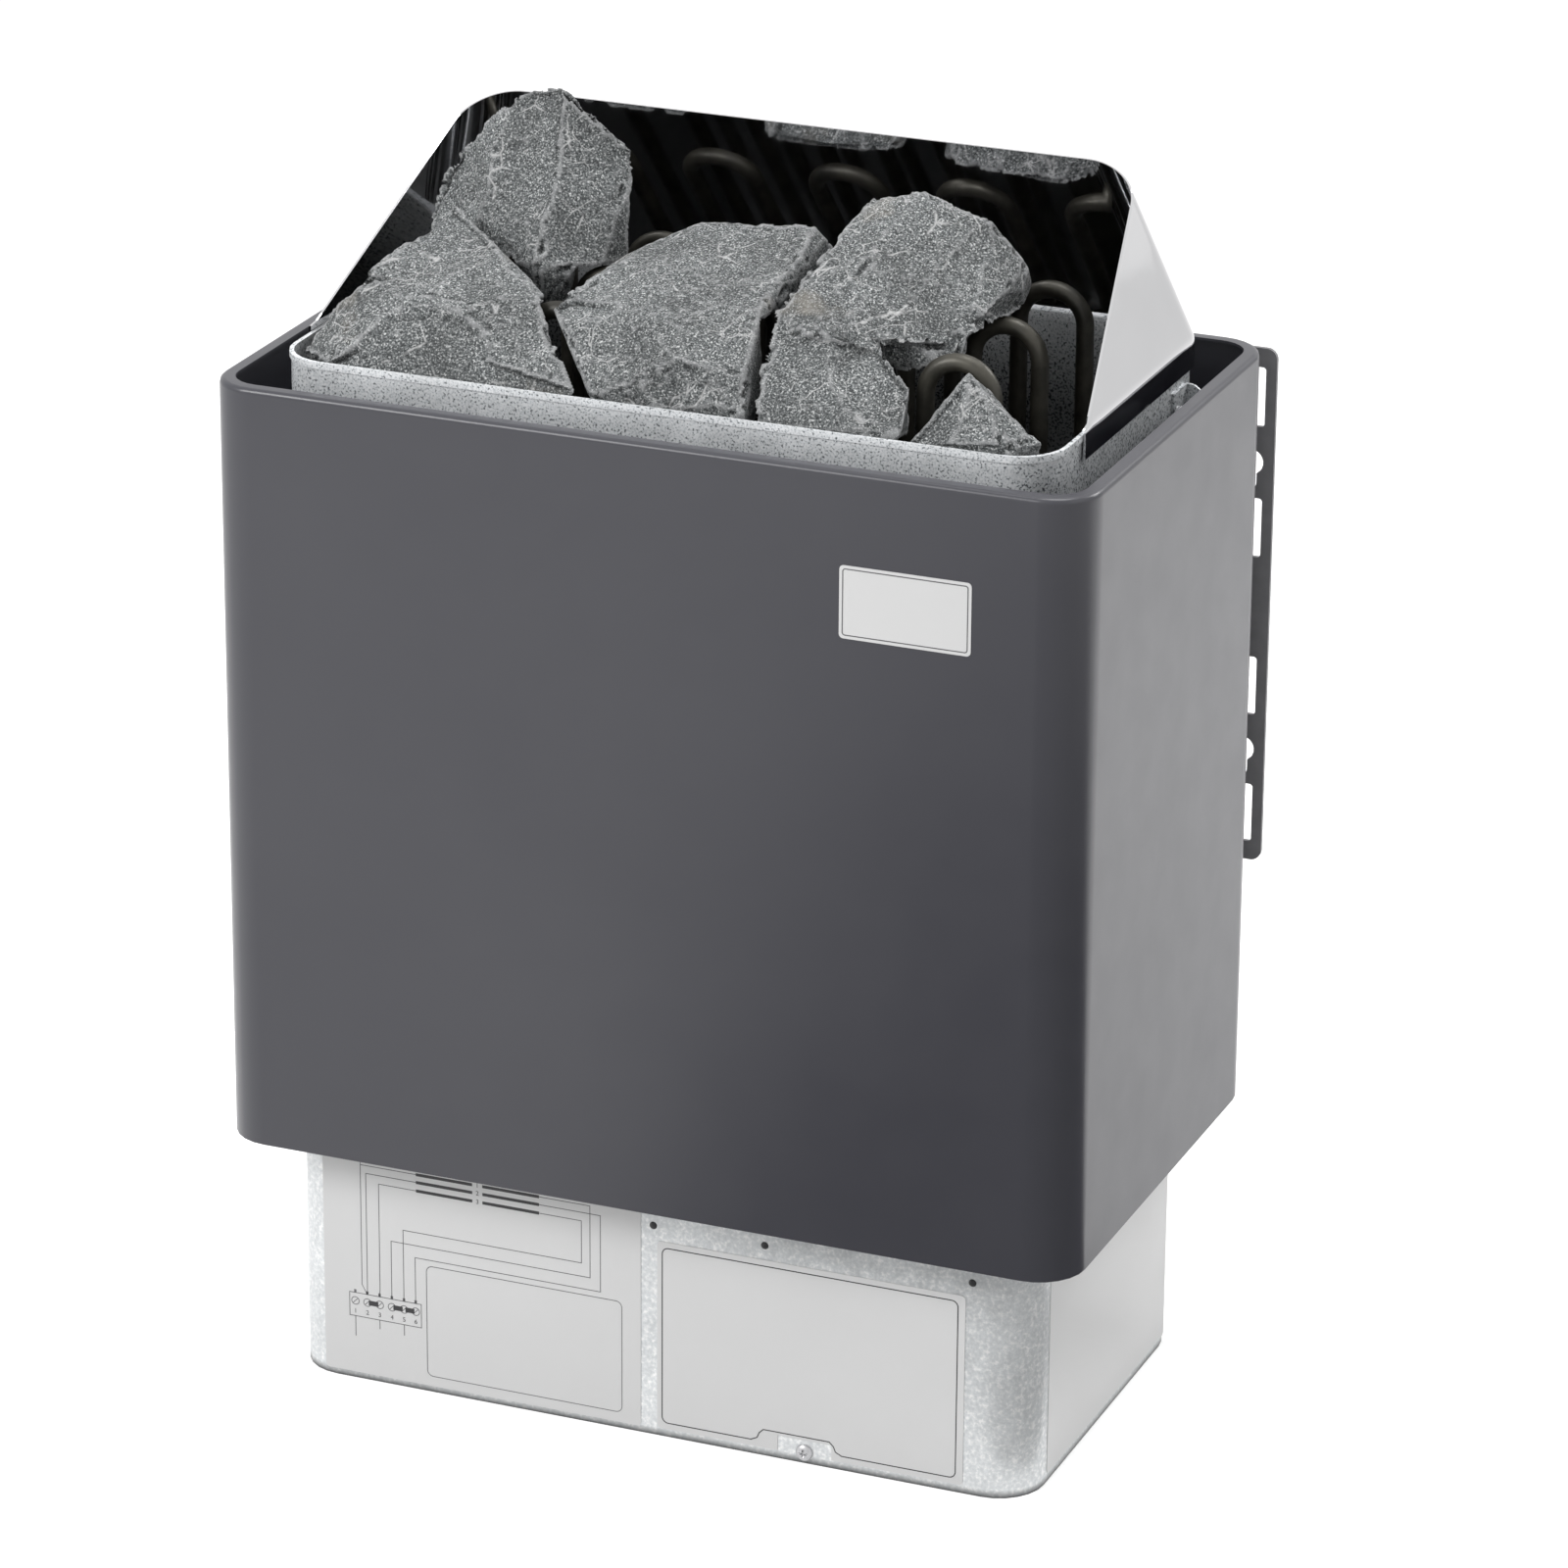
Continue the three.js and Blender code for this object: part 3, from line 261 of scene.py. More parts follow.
def inside_tank(tree, height):
    """One on the tank's inside and zero elsewhere: inside, a point's reach past the corner centres of the
    casing's plan is under the radius of the middle of its wall."""
    offset = add_node(tree, "VectorMath", {0: place_of(tree)}, operation="SUBTRACT")
    offset.inputs[1].default_value = CASING_AXIS
    folded = add_node(tree, "VectorMath", {0: offset.outputs[0]}, operation="ABSOLUTE")
    past = add_node(tree, "VectorMath", {0: folded.outputs[0]}, operation="SUBTRACT")
    past.inputs[1].default_value = (CASING_W / 2 - CASING_R, CASING_D / 2 - CASING_R, CASING_H)
    kept = add_node(tree, "VectorMath", {0: past.outputs[0]}, operation="MAXIMUM")
    reach = add_node(tree, "VectorMath", {0: kept.outputs[0]}, operation="LENGTH")
    inside = add_node(tree, "Math", {0: reach.outputs["Value"]}, operation="LESS_THAN")
    inside.inputs[1].default_value = CASING_R - CASING_T / 2
    tank = ramp(tree, height, [
        (GRATE_TOP, 0.0), (GRATE_TOP + MM, 1.0), (CASING_H - 2 * MM, 1.0), (CASING_H - MM, 0.0),
    ])
    return mix(tree, 1.0, inside.outputs[0], tank, "MULTIPLY")


def galvanised_sheet():
    """Zinc-dipped steel: pale spangle below, sooty specks that thin out toward the rim, painted shadow at its
    foot.
    Heat tint and painted shade darken the tank's inside, more so further down."""
    made, tree, shader = start_material("galvanised_sheet")
    height = add_node(tree, "SeparateXYZ", {0: place_of(tree)}).outputs["Z"]
    soot = ramp(tree, height, [SOOT_MOST, SOOT_NONE])
    sooty = add_node(tree, "Math", {0: noise(tree, 950, 2, 0.5), 1: soot}, operation="SUBTRACT")
    specks = ramp(
        tree, sooty.outputs[0],
        [
            (0.33, (0.10, 0.11, 0.12)), (0.40, (0.66, 0.69, 0.71)),
            (0.55, (0.86, 0.88, 0.90)), (0.70, (0.94, 0.95, 0.96)),
        ],
    )
    spangle = ramp(
        tree, noise(tree, 520, 3, 0.6),
        [
            (0.36, (0.64, 0.66, 0.67)), (0.52, (0.73, 0.75, 0.76)),
            (0.60, (0.82, 0.83, 0.83)), (0.66, (0.93, 0.93, 0.93)),
        ],
    )
    grain = mix(tree, ramp(tree, height, [SPECKS_FROM, SPECKS_FULL]), spangle, specks)
    cloud = ramp(tree, noise(tree, 30, 5, 0.6), [(0.3, 0.88), (0.7, 1.06)])
    tone = mix(tree, 1.0, grain, cloud, "MULTIPLY")
    # Painted shadow along the foot, where the heater meets the floor
    edge = ramp(tree, height, [FLOOR_SHADOW_DARK, FLOOR_SHADOW_END])
    tone = mix(tree, 1.0, tone, edge, "MULTIPLY")
    # Inside the tank: heat tint together with painted shade, darker further down
    heated_and_shaded = mix(tree, 1.0, tone, ramp(tree, height, [HEAT_AND_SHADE_DEEP, HEAT_AND_SHADE_RIM]), "MULTIPLY")
    tone = mix(tree, inside_tank(tree, height), tone, heated_and_shaded)
    tree.links.new(tone, shader.inputs["Base Color"])
    shader.inputs["Metallic"].default_value = 0.35
    gloss = ramp(tree, noise(tree, 180, 3), [(0.3, 0.32), (0.7, 0.48)])
    tree.links.new(gloss, shader.inputs["Roughness"])
    bump(tree, shader, noise(tree, 900, 3), 0.2, 0.0001)
    return made


def polished_steel():
    """Mirror-polished sheet with faint wiping haze."""
    made, tree, shader = start_material("polished_steel")
    shader.inputs["Metallic"].default_value = 1.0
    tone = ramp(tree, noise(tree, 14, 3), [(0.3, (0.65, 0.65, 0.66)), (0.7, (0.69, 0.69, 0.70))])
    tree.links.new(tone, shader.inputs["Base Color"])
    gloss = ramp(tree, noise(tree, 60, 5), [(0.35, 0.03), (0.75, 0.08)])
    tree.links.new(gloss, shader.inputs["Roughness"])
    return made


def black_steel():
    """Matt dark grey sheet with a fine grain."""
    made, tree, shader = start_material("black_steel")
    tone = ramp(tree, noise(tree, 120, 4), [(0.3, (0.185, 0.185, 0.192)), (0.7, (0.215, 0.215, 0.222))])
    tree.links.new(tone, shader.inputs["Base Color"])
    gloss = ramp(tree, noise(tree, 300, 2), [(0.3, 0.42), (0.7, 0.56)])
    tree.links.new(gloss, shader.inputs["Roughness"])
    bump(tree, shader, noise(tree, 1200, 2), 0.15, 0.0001)
    return made


def oxidised_tube():
    """Heat-darkened sheath: olive brown with scorched patches and a fine drawn grain."""
    made, tree, shader = start_material("oxidised_tube")
    tone = ramp(
        tree, noise(tree, 70, 5, 0.6),
        [(0.3, (0.026, 0.025, 0.021)), (0.5, (0.052, 0.049, 0.040)), (0.75, (0.082, 0.077, 0.062))],
    )
    tree.links.new(tone, shader.inputs["Base Color"])
    shader.inputs["Metallic"].default_value = 0.45
    gloss = ramp(tree, noise(tree, 150, 3), [(0.3, 0.34), (0.7, 0.52)])
    tree.links.new(gloss, shader.inputs["Roughness"])
    bump(tree, shader, noise(tree, 700, 3), 0.25, 0.0001)
    return made


STREAK_PITCH = (180, 420, 900)
VEIN_BEND = 0.03
# Each kind of vein: cells to the metre, its width as a share of a cell, and patches to the metre
VEINS = ((30.0, 0.022, 70), (75.0, 0.03, 45))


def rough_stone():
    """Split grey stone: speckled grain, pale veins and streaks, beige stains, dark hollows as painted shade,
    and ridges lightened partly by abrasion, partly as painted highlight.
    """
    made, tree, shader = start_material("rough_stone")
    grain = ramp(
        tree, noise(tree, 1150, 2, 0.6),
        [
            (0.35, (0.020, 0.022, 0.023)), (0.45, (0.080, 0.087, 0.089)), (0.54, (0.155, 0.167, 0.169)),
            (0.61, (0.31, 0.32, 0.32)), (0.68, (0.74, 0.75, 0.75)),
        ],
    )
    cloud = ramp(tree, noise(tree, 26, 5, 0.65), [(0.3, 0.50), (0.7, 1.14)])
    tone = mix(tree, 1.0, grain, cloud, "MULTIPLY")
    drawn = add_node(tree, "VectorMath", {0: place_of(tree)}, operation="MULTIPLY")
    drawn.inputs[1].default_value = STREAK_PITCH
    streak = ramp(tree, noise(tree, 1.0, 3, 0.6, where=drawn.outputs[0]), [(0.60, 0.0), (0.70, 0.55)])
    tone = mix(tree, streak, tone, (0.46, 0.47, 0.47))
    bent = noise(tree, 30, 4)
    shifted = add_node(tree, "VectorMath", {0: place_of(tree)}, operation="ADD")
    scaled = add_node(tree, "VectorMath", {0: bent}, operation="SCALE")
    scaled.inputs["Scale"].default_value = VEIN_BEND
    tree.links.new(scaled.outputs[0], shifted.inputs[1])
    for scale, width, patch in VEINS:
        crack = add_node(
            tree, "TexVoronoi", {"Vector": shifted.outputs[0]}, feature="DISTANCE_TO_EDGE", scale=scale,
        )
        vein = ramp(tree, crack.outputs["Distance"], [(0.0, 0.85), (0.4 * width, 0.5), (width, 0.0)])
        broken = ramp(tree, noise(tree, patch, 4, 0.6), [(0.52, 0.0), (0.60, 0.9)])
        tone = mix(tree, mix(tree, 1.0, vein, broken, "MULTIPLY"), tone, (0.56, 0.56, 0.56))
    stain = ramp(tree, noise(tree, 22, 4), [(0.64, 0.0), (0.74, 0.45)])
    tone = mix(tree, stain, tone, (0.30, 0.275, 0.235))
    wear_and_shade = add_node(tree, "Attribute", attribute_name="wear_and_shade").outputs["Fac"]
    # Ridges lightened: partly abrasion, partly painted highlight
    worn_and_highlit = ramp(tree, wear_and_shade, [(0.54, 0.0), (0.85, 0.55)])
    tone = mix(tree, worn_and_highlit, tone, (0.36, 0.365, 0.37))
    # Painted shade: hollows darken to half their tone
    hollow = ramp(tree, wear_and_shade, [(0.10, 0.5), (0.42, 1.0)])
    tone = mix(tree, 1.0, tone, hollow, "MULTIPLY")
    tree.links.new(tone, shader.inputs["Base Color"])
    shader.inputs["Roughness"].default_value = 0.78
    bump(tree, shader, noise(tree, 1100, 3, 0.7), 0.7, 0.0005)
    return made


def plain_finish(name, low, high, roughness, metallic=0.0, scale=80, grain=600, depth=0.15):
    """A finish whose tone drifts between two colours, with a fine grain in its surface."""
    made, tree, shader = start_material(name)
    tone = ramp(tree, noise(tree, scale, 3), [(0.3, low), (0.7, high)])
    tree.links.new(tone, shader.inputs["Base Color"])
    gloss = ramp(tree, noise(tree, 2 * scale, 3), [(0.3, roughness - 0.05), (0.7, roughness + 0.05)])
    tree.links.new(gloss, shader.inputs["Roughness"])
    shader.inputs["Metallic"].default_value = metallic
    bump(tree, shader, noise(tree, grain, 2), depth, 0.0001)
    return made


finishes = {
    "painted_cover": painted_cover(),
    "galvanised": galvanised_sheet(),
    "polished_steel": polished_steel(),
    "black_steel": black_steel(),
    "oxidised_tube": oxidised_tube(),
    "stone": rough_stone(),
    "silicone": plain_finish("lead_silicone", (0.42, 0.39, 0.33), (0.50, 0.47, 0.40), 0.6),
    "black_plastic": plain_finish("gland_plastic", (0.020, 0.020, 0.022), (0.030, 0.030, 0.032), 0.5),
    "ceramic": plain_finish("block_ceramic", (0.70, 0.67, 0.60), (0.78, 0.75, 0.68), 0.4),
    "brass": plain_finish("fitting_brass", (0.50, 0.36, 0.14), (0.60, 0.44, 0.18), 0.35, 0.9),
    "sticker": plain_finish("sticker_paper", (0.645,) * 3, (0.665,) * 3, 0.42, scale=12, depth=0.05),
    "zinc_screw": plain_finish("screw_zinc", (0.46, 0.46, 0.47), (0.56, 0.56, 0.57), 0.32, 0.85),
}
black_ink = plain_finish("black_ink", (0.020, 0.020, 0.022), (0.028, 0.028, 0.030), 0.5)
rivet_black = plain_finish("rivet_black", (0.022, 0.022, 0.024), (0.030, 0.030, 0.032), 0.5)
grey_ink = plain_finish("grey_ink", (0.10, 0.10, 0.105), (0.13, 0.13, 0.135), 0.5)

for part in frame["record"]["subparts"]:
    solid = nodes[part["node"]]
    solid.data.materials.clear()
    solid.data.materials.append(finishes[part["material_slot"]])


# Solids that stay: their facets are shaded as the round corners that they stand for

def rounding_group(angle):
    """Geometry nodes that merge a solid's loose triangles, shade it smooth and crease it over the angle."""
    group = bpy.data.node_groups.new("round_shading", "GeometryNodeTree")
    group.interface.new_socket("Geometry", in_out="INPUT", socket_type="NodeSocketGeometry")
    group.interface.new_socket("Geometry", in_out="OUTPUT", socket_type="NodeSocketGeometry")
    entry = group.nodes.new("NodeGroupInput")
    leave = group.nodes.new("NodeGroupOutput")
    merge = group.nodes.new("GeometryNodeMergeByDistance")
    merge.inputs["Distance"].default_value = WELD
    smooth = group.nodes.new("GeometryNodeSetShadeSmooth")
    smooth.domain = "FACE"
    crease = group.nodes.new("GeometryNodeSetShadeSmooth")
    crease.domain = "EDGE"
    crease.inputs["Shade Smooth"].default_value = False
    bend = group.nodes.new("GeometryNodeInputMeshEdgeAngle")
    over = group.nodes.new("FunctionNodeCompare")
    over.data_type = "FLOAT"
    over.operation = "GREATER_THAN"
    over.inputs[1].default_value = math.radians(angle)
    group.links.new(entry.outputs[0], merge.inputs["Geometry"])
    group.links.new(merge.outputs["Geometry"], smooth.inputs["Geometry"])
    group.links.new(smooth.outputs["Geometry"], crease.inputs["Geometry"])
    group.links.new(bend.outputs["Unsigned Angle"], over.inputs[0])
    group.links.new(over.outputs["Result"], crease.inputs["Selection"])
    group.links.new(crease.outputs["Geometry"], leave.inputs[0])
    return group


SOLID_CREASE = 38
round_shading = rounding_group(SOLID_CREASE)
for solid in nodes.values():
    solid.modifiers.new("round_shading", "NODES").node_group = round_shading
    even = solid.modifiers.new("even_normals", "WEIGHTED_NORMAL")
    even.keep_sharp = True


# Stones: each solid remeshed finely, then set back by broken faces, nicked edges, layers and noise

VOXEL = 1.1 * MM
CUTS = 48
CUT_LEAN = 0.2
CUT_DEEP = 0.5 * MM
CUT_ROUND = 90 * MM
CUT_FACING = 0.86
JAG_PITCH = 6 * MM
JAG_DEEP = 0.7 * MM
NICK_PITCH = 8 * MM
NICK_DEEP = 8 * MM
EDGE_PROUD = 0.06 * MM
EDGE_ROUNDS = 5
HOLLOW_PITCH = 30 * MM
HOLLOW_DEEP = 0.6 * MM
LAYER_PITCH = 7 * MM
LAYER_BEND = 1.2
LAYER_DEEP = 0.3 * MM
GRAIN_PITCH = 4.8 * MM
GRAIN_DEEP = 0.5 * MM
STONE_FULL = 0.7 * MM
CHIP_LEAST = -0.5 * MM
CHIP_MOST = 2.6 * MM
WEAR_AND_SHADE_PROUD = 0.13 * MM
WEAR_AND_SHADE_ROUNDS = 2
STONE_CREASE = 40
OCTAVES = 3
FIRST_SEED = 11
SEED_STEP = 7
HOLLOW_SEED = 10
GRAIN_SEED = 30
JAG_SEED = 40
NICK_SEED = 60


def fine_copy(solid):
    """A copy of a solid's mesh with its doubles merged, remeshed into even cells. Returns the new mesh."""
    copy = add_object("fine_copy", solid.data.copy())
    weld = copy.modifiers.new("weld", "WELD")
    weld.merge_threshold = WELD
    even = copy.modifiers.new("even", "REMESH")
    even.mode = "VOXEL"
    even.voxel_size = VOXEL
    shown = copy.evaluated_get(bpy.context.evaluated_depsgraph_get())
    made = bpy.data.meshes.new_from_object(shown)
    bpy.data.objects.remove(copy)
    return made


def mesh_arrays(mesh):
    """A mesh's points, normals and edges as arrays."""
    co = np.empty(3 * len(mesh.vertices))
    mesh.vertices.foreach_get("co", co)
    normal = np.empty(3 * len(mesh.vertices))
    mesh.vertices.foreach_get("normal", normal)
    edges = np.empty(2 * len(mesh.edges), np.int64)
    mesh.edges.foreach_get("vertices", edges)
    return co.reshape(-1, 3), normal.reshape(-1, 3), edges.reshape(-1, 2)


def neighbour_mean(values, edges, count):
    """For each point, the mean of a value over the points that an edge joins to it."""
    total = np.zeros((count, values.shape[1]))
    np.add.at(total, edges[:, 0], values[edges[:, 1]])
    np.add.at(total, edges[:, 1], values[edges[:, 0]])
    number = np.bincount(edges.ravel(), minlength=count)
    return total / number[:, None]


def cuts(p, n, rng, seed):
    """Depth below the surface of the deepest of many broken faces. A face is cut near a random point s, along
    a normal m that leans off the surface. Its depth at p is (p - s).m + d - |p - s|^2 / (2 R), plus noise.
    It counts only where the surface faces much the same way as m, so that hollow corners stay closed."""
    sites = rng.choice(len(p), CUTS, replace=False)
    lean = n[sites] + CUT_LEAN * rng.normal(size=(CUTS, 3))
    lean /= np.linalg.norm(lean, axis=1, keepdims=True)
    deep = CUT_DEEP * rng.random(CUTS)
    centre = p[sites]
    apart = (p**2).sum(1)[:, None] - 2 * p @ centre.T + (centre**2).sum(1)
    above = p @ lean.T - (centre * lean).sum(1) + deep - apart / (2 * CUT_ROUND)
    above = np.where(n @ lean.T > CUT_FACING, above, 0)
    ragged = above.max(1) + JAG_DEEP * layered_noise(p / JAG_PITCH, seed + JAG_SEED, OCTAVES)
    return np.maximum(ragged, 0)


def standing_out(p, n, edges, rounds):
    """How far each point stands out from its neighbours along its normal, averaged over a few rounds."""
    proud = np.einsum("ij,ij->i", p - neighbour_mean(p, edges, len(p)), n)[:, None]
    for _ in range(rounds):
        proud = 0.5 * proud + 0.5 * neighbour_mean(proud, edges, len(p))
    return proud[:, 0]


def rough_mesh(solid, seed):
    """A stone's surface: p - n * chip, where chip adds broken faces, broad hollows, thin layers, fine grain,
    and nicks bitten from the edges where noise is over zero.
    The point attribute wear_and_shade holds how far a point stands out from its neighbours, 0.5 on a flat
    face."""
    mesh = fine_copy(solid)
    p, n, edges = mesh_arrays(mesh)
    rng = np.random.default_rng(seed)
    lay = rng.normal(size=3)
    lay /= np.linalg.norm(lay)
    broad = layered_noise(p / HOLLOW_PITCH, seed + HOLLOW_SEED, OCTAVES)
    sheets = np.abs(((p @ lay) / LAYER_PITCH + LAYER_BEND * broad) % 1.0 - 0.5)
    grain = layered_noise(p / GRAIN_PITCH, seed + GRAIN_SEED, OCTAVES)
    edge = np.clip(standing_out(p, n, edges, EDGE_ROUNDS) / EDGE_PROUD, 0, 1)
    nicks = NICK_DEEP * edge * np.maximum(layered_noise(p / NICK_PITCH, seed + NICK_SEED, OCTAVES), 0)
    texture = LAYER_DEEP * sheets - HOLLOW_DEEP * broad - GRAIN_DEEP * grain
    chip = cuts(p, n, rng, seed) + nicks - STONE_FULL + texture
    p = p - n * np.clip(chip, CHIP_LEAST, CHIP_MOST)[:, None]
    proud = standing_out(p, n, edges, WEAR_AND_SHADE_ROUNDS)
    mesh.vertices.foreach_set("co", p.ravel())
    # The stone's finish paints highlight on ridges and shade in hollows from this attribute
    wear_and_shade = mesh.attributes.new("wear_and_shade", "FLOAT", "POINT")
    wear_and_shade.data.foreach_set("value", np.clip(0.5 + 0.5 * proud / WEAR_AND_SHADE_PROUD, 0, 1))
    mesh.update()
    mesh.shade_smooth()
    mesh.set_sharp_from_angle(angle=math.radians(STONE_CREASE))
    return mesh


STONES = ["stone_back_left", "stone_front_left", "stone_centre", "stone_right", "stone_front_right"]
for number, name in enumerate(STONES):
    mesh = rough_mesh(nodes[name], FIRST_SEED + SEED_STEP * number)
    mesh.materials.clear()
    place("rough_" + name, mesh, finishes["stone"], name, [name])


# Heating tubes: a round section carried along legs and half-circle loops

LOOP_STEPS = 20
TUBE_SIDES = 20
TUBE_CREASE = 50


def tube_path(row_y, top, tail, pin_end):
    """Centre-line and radius of a serpentine: legs joined by half circles, and a thin pin at each end."""
    legs = 2 * TUBE_LOOPS
    x = (np.arange(legs) - (legs - 1) / 2) * TUBE_LEG_PITCH
    bend = TUBE_LEG_PITCH / 2
    high = top - TUBE_R - bend
    low = GRATE_TOP + TUBE_ABOVE_GRATE + TUBE_R + bend
    a = np.pi * (1 - np.linspace(0, 1, LOOP_STEPS + 1))
    up = (np.arange(legs - 1) % 2 == 0)[:, None]
    loop_x = ((x[:-1] + x[1:]) / 2)[:, None] + bend * np.cos(a)
    loop_z = np.where(up, high + bend * np.sin(a), low - bend * np.sin(a))
    ends_z = np.array([pin_end, tail, tail, tail])
    path_x = np.concatenate([np.full_like(ends_z, x[0]), loop_x.ravel(), np.full_like(ends_z, x[-1])])
    path_z = np.concatenate([ends_z, loop_z.ravel(), ends_z[::-1]])
    radius = np.full(len(path_x), TUBE_R)
    radius[[0, 1, -1, -2]] = PIN_R
    path = np.stack([path_x, np.full_like(path_x, row_y), path_z], 1)
    return path, radius


def swept(path, radius, side):
    """A tube: a ring is a path point plus radius (cos a * inward + sin a * side), both square to the path."""
    ahead = np.gradient(path, axis=0)
    ahead /= np.maximum(np.linalg.norm(ahead, axis=1, keepdims=True), 1e-12)
    inward = np.cross(side, ahead)
    a = np.linspace(0, 2 * np.pi, TUBE_SIDES, endpoint=False)
    ring = np.cos(a)[None, :, None] * inward[:, None, :] + np.sin(a)[None, :, None] * np.asarray(side)
    points = path[:, None, :] + radius[:, None, None] * ring
    rows = len(path)
    faces = cells(rows, TUBE_SIDES, wrap_cols=True).tolist()
    first = list(range(TUBE_SIDES))
    last = [(rows - 1) * TUBE_SIDES + k for k in range(TUBE_SIDES)]
    return points.reshape(-1, 3), faces + [first[::-1], last]


for row in ("front", "middle", "rear"):
    name = "heating_tube_" + row
    low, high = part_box(name)
    tail = low.z + PIN_L
    path, radius = tube_path((low.y + high.y) / 2, high.z, tail, low.z)
    mesh = make_mesh(name, *swept(path, radius, (0, 1, 0)), TUBE_CREASE)
    place("smooth_" + name, mesh, finishes["oxidised_tube"], BODY, [name])


# Guard: the tank's back and sides ruled up along leaning lines, with a folded bend and a round top edge

GUARD_ROWS = 14
GUARD_CORNER_STEPS = 16
WING_STEPS = 24
BACK_STEPS = 25
SKIRT_ROWS = 3
GUARD_FOLD = 4 * MM
FOLD_STEPS = 7
FOLD_MOST = 0.5
CROWN_H = 0.3 * MM
GUARD_CREASE = 32


def guard_points(cy):
    """The guard's skin as a grid: at a plan point a closed section runs up the outside and down the inside.
    Above the bend a point moves by its height's share times (inward, forward, rise) of that plan point."""
    out = HEM_T + FIT + GUARD_T
    w = CASING_W + 2 * out
    d = CASING_D + 2 * out
    plan, way = rounded_plan(w, d, CASING_R + out, cy, GUARD_CORNER_STEPS)
    behind = plan[:, 1] > cy
    plan, way = plan[behind], way[behind]
    tip_y = cy - CASING_D / 2 + GUARD_TIP_SETBACK
    back_y = cy + d / 2
    run = np.linspace(tip_y, plan[0, 1], WING_STEPS, endpoint=False)
    flat = w / 2 - CASING_R - out
    across = np.linspace(flat, -flat, BACK_STEPS + 1)[1:-1]
    half = len(plan) // 2
    right = np.stack([np.full_like(run, w / 2), run], 1)
    back = np.stack([across, np.full_like(across, back_y)], 1)
    plan = np.concatenate([right, plan[:half], back, plan[half:], right[::-1] * [-1, 1]])
    way = np.concatenate([
        np.tile([1.0, 0.0], (len(run), 1)), way[:half], np.tile([0.0, 1.0], (len(across), 1)), way[half:],
        np.tile([-1.0, 0.0], (len(run), 1)),
    ])
    share = np.maximum((plan[:, 1] - tip_y) / (back_y - tip_y), GUARD_TIP_H / GUARD_RISE)
    inward = -np.sign(plan[:, 0]) * np.minimum(1, np.abs(plan[:, 0]) / flat)
    lean = np.stack([
        inward * GUARD_RISE * math.tan(GUARD_WING_LEAN),
        np.full(len(plan), -GUARD_RISE * math.tan(GUARD_BACK_LEAN)),
        np.full(len(plan), GUARD_RISE),
    ], 1) * share[:, None]
    bend = CASING_H + GUARD_SEAT
    foot = np.linspace(CASING_H - GUARD_SKIRT, bend - GUARD_FOLD, SKIRT_ROWS)
    fold_end = np.minimum(FOLD_MOST, GUARD_FOLD / np.linalg.norm(lean, axis=1))[:, None, None]
    fold = np.linspace(0, 1, FOLD_STEPS + 1)[1:-1][None, :, None]
    climb = np.linspace(0, 1, GUARD_ROWS + 1)[None, :, None]

    def face(depth):
        """One side of the sheet, at a depth behind its outer face: the skirt, the fold and the leaning wall.
        The fold runs (1-t)^2 from the skirt's end, 2t(1-t) of the corner and t^2 of the wall's start."""
        corner = np.concatenate([plan - way * depth, np.full((len(plan), 1), bend)], 1)[:, None, :]
        skirt = np.repeat(corner, len(foot), 1)
        skirt[:, :, 2] = foot
        wall = corner + (fold_end + (1 - fold_end) * climb) * lean[:, None, :]
        curve = (1 - fold) ** 2 * skirt[:, -1:] + 2 * fold * (1 - fold) * corner + fold**2 * wall[:, :1]
        return np.concatenate([skirt, curve, wall], 1)

    outer = face(0)
    inner = face(GUARD_T)
    crown = (outer[:, -1] + inner[:, -1]) / 2 + np.array([0, 0, CROWN_H])
    return np.concatenate([outer, crown[:, None, :], inner[:, ::-1]], 1)


def guard_mesh():
    """The guard's closed skin: the sections joined round the plan, and a cap on each tip."""
    grid = guard_points(CASING_AXIS.y)
    rows, cols = grid.shape[:2]
    faces = cells(rows, cols, wrap_cols=True)[:, ::-1].tolist()
    start = list(range(cols))
    end = [(rows - 1) * cols + k for k in range(cols)]
    return make_mesh("guard_sheet", grid, faces + [start, end[::-1]], GUARD_CREASE)


place("guard_sheet", guard_mesh(), finishes["polished_steel"], "guard", ["guard"])


# Print on the stickers: flat strips of ink just proud of the paper

INK_PROUD = 0.05 * MM
INK_SUNK = 0.02 * MM
LINE_W = 0.35 * MM


def printed_strip(path, width, face_y, closed=False):
    """Points and faces of a strip along a path in X and Z: its corners are set off along their mitres."""
    path = np.asarray(path) * MM
    ahead = np.roll(path, -1, 0) - path
    if not closed:
        ahead[-1] = ahead[-2]
    ahead /= np.linalg.norm(ahead, axis=1, keepdims=True)
    behind = np.roll(ahead, 1, 0)
    if not closed:
        behind[0] = ahead[0]
    square = np.stack([-ahead[:, 1], ahead[:, 0]], 1)
    mitre = square + np.stack([-behind[:, 1], behind[:, 0]], 1)
    mitre /= np.einsum("ij,ij->i", mitre, square)[:, None]
    sides = [path + mitre * width / 2, path - mitre * width / 2]
    ring = [(sides[0], -INK_PROUD), (sides[1], -INK_PROUD), (sides[1], INK_SUNK), (sides[0], INK_SUNK)]
    points = np.stack([
        np.stack([side[:, 0], np.full(len(path), face_y + depth), side[:, 1]], 1) for side, depth in ring
    ], 1)
    rows = len(path)
    faces = cells(rows, 4, wrap_rows=closed, wrap_cols=True).tolist()
    if not closed:
        faces += [[3, 2, 1, 0], [4 * rows - 4, 4 * rows - 3, 4 * rows - 2, 4 * rows - 1]]
    return points.reshape(-1, 3), faces


def joined(pieces):
    """Several sets of points and faces as one."""
    points = []
    faces = []
    count = 0
    for some, cells_of in pieces:
        points.append(some)
        faces += [[index + count for index in face] for face in cells_of]
        count += len(some)
    return np.concatenate(points), faces


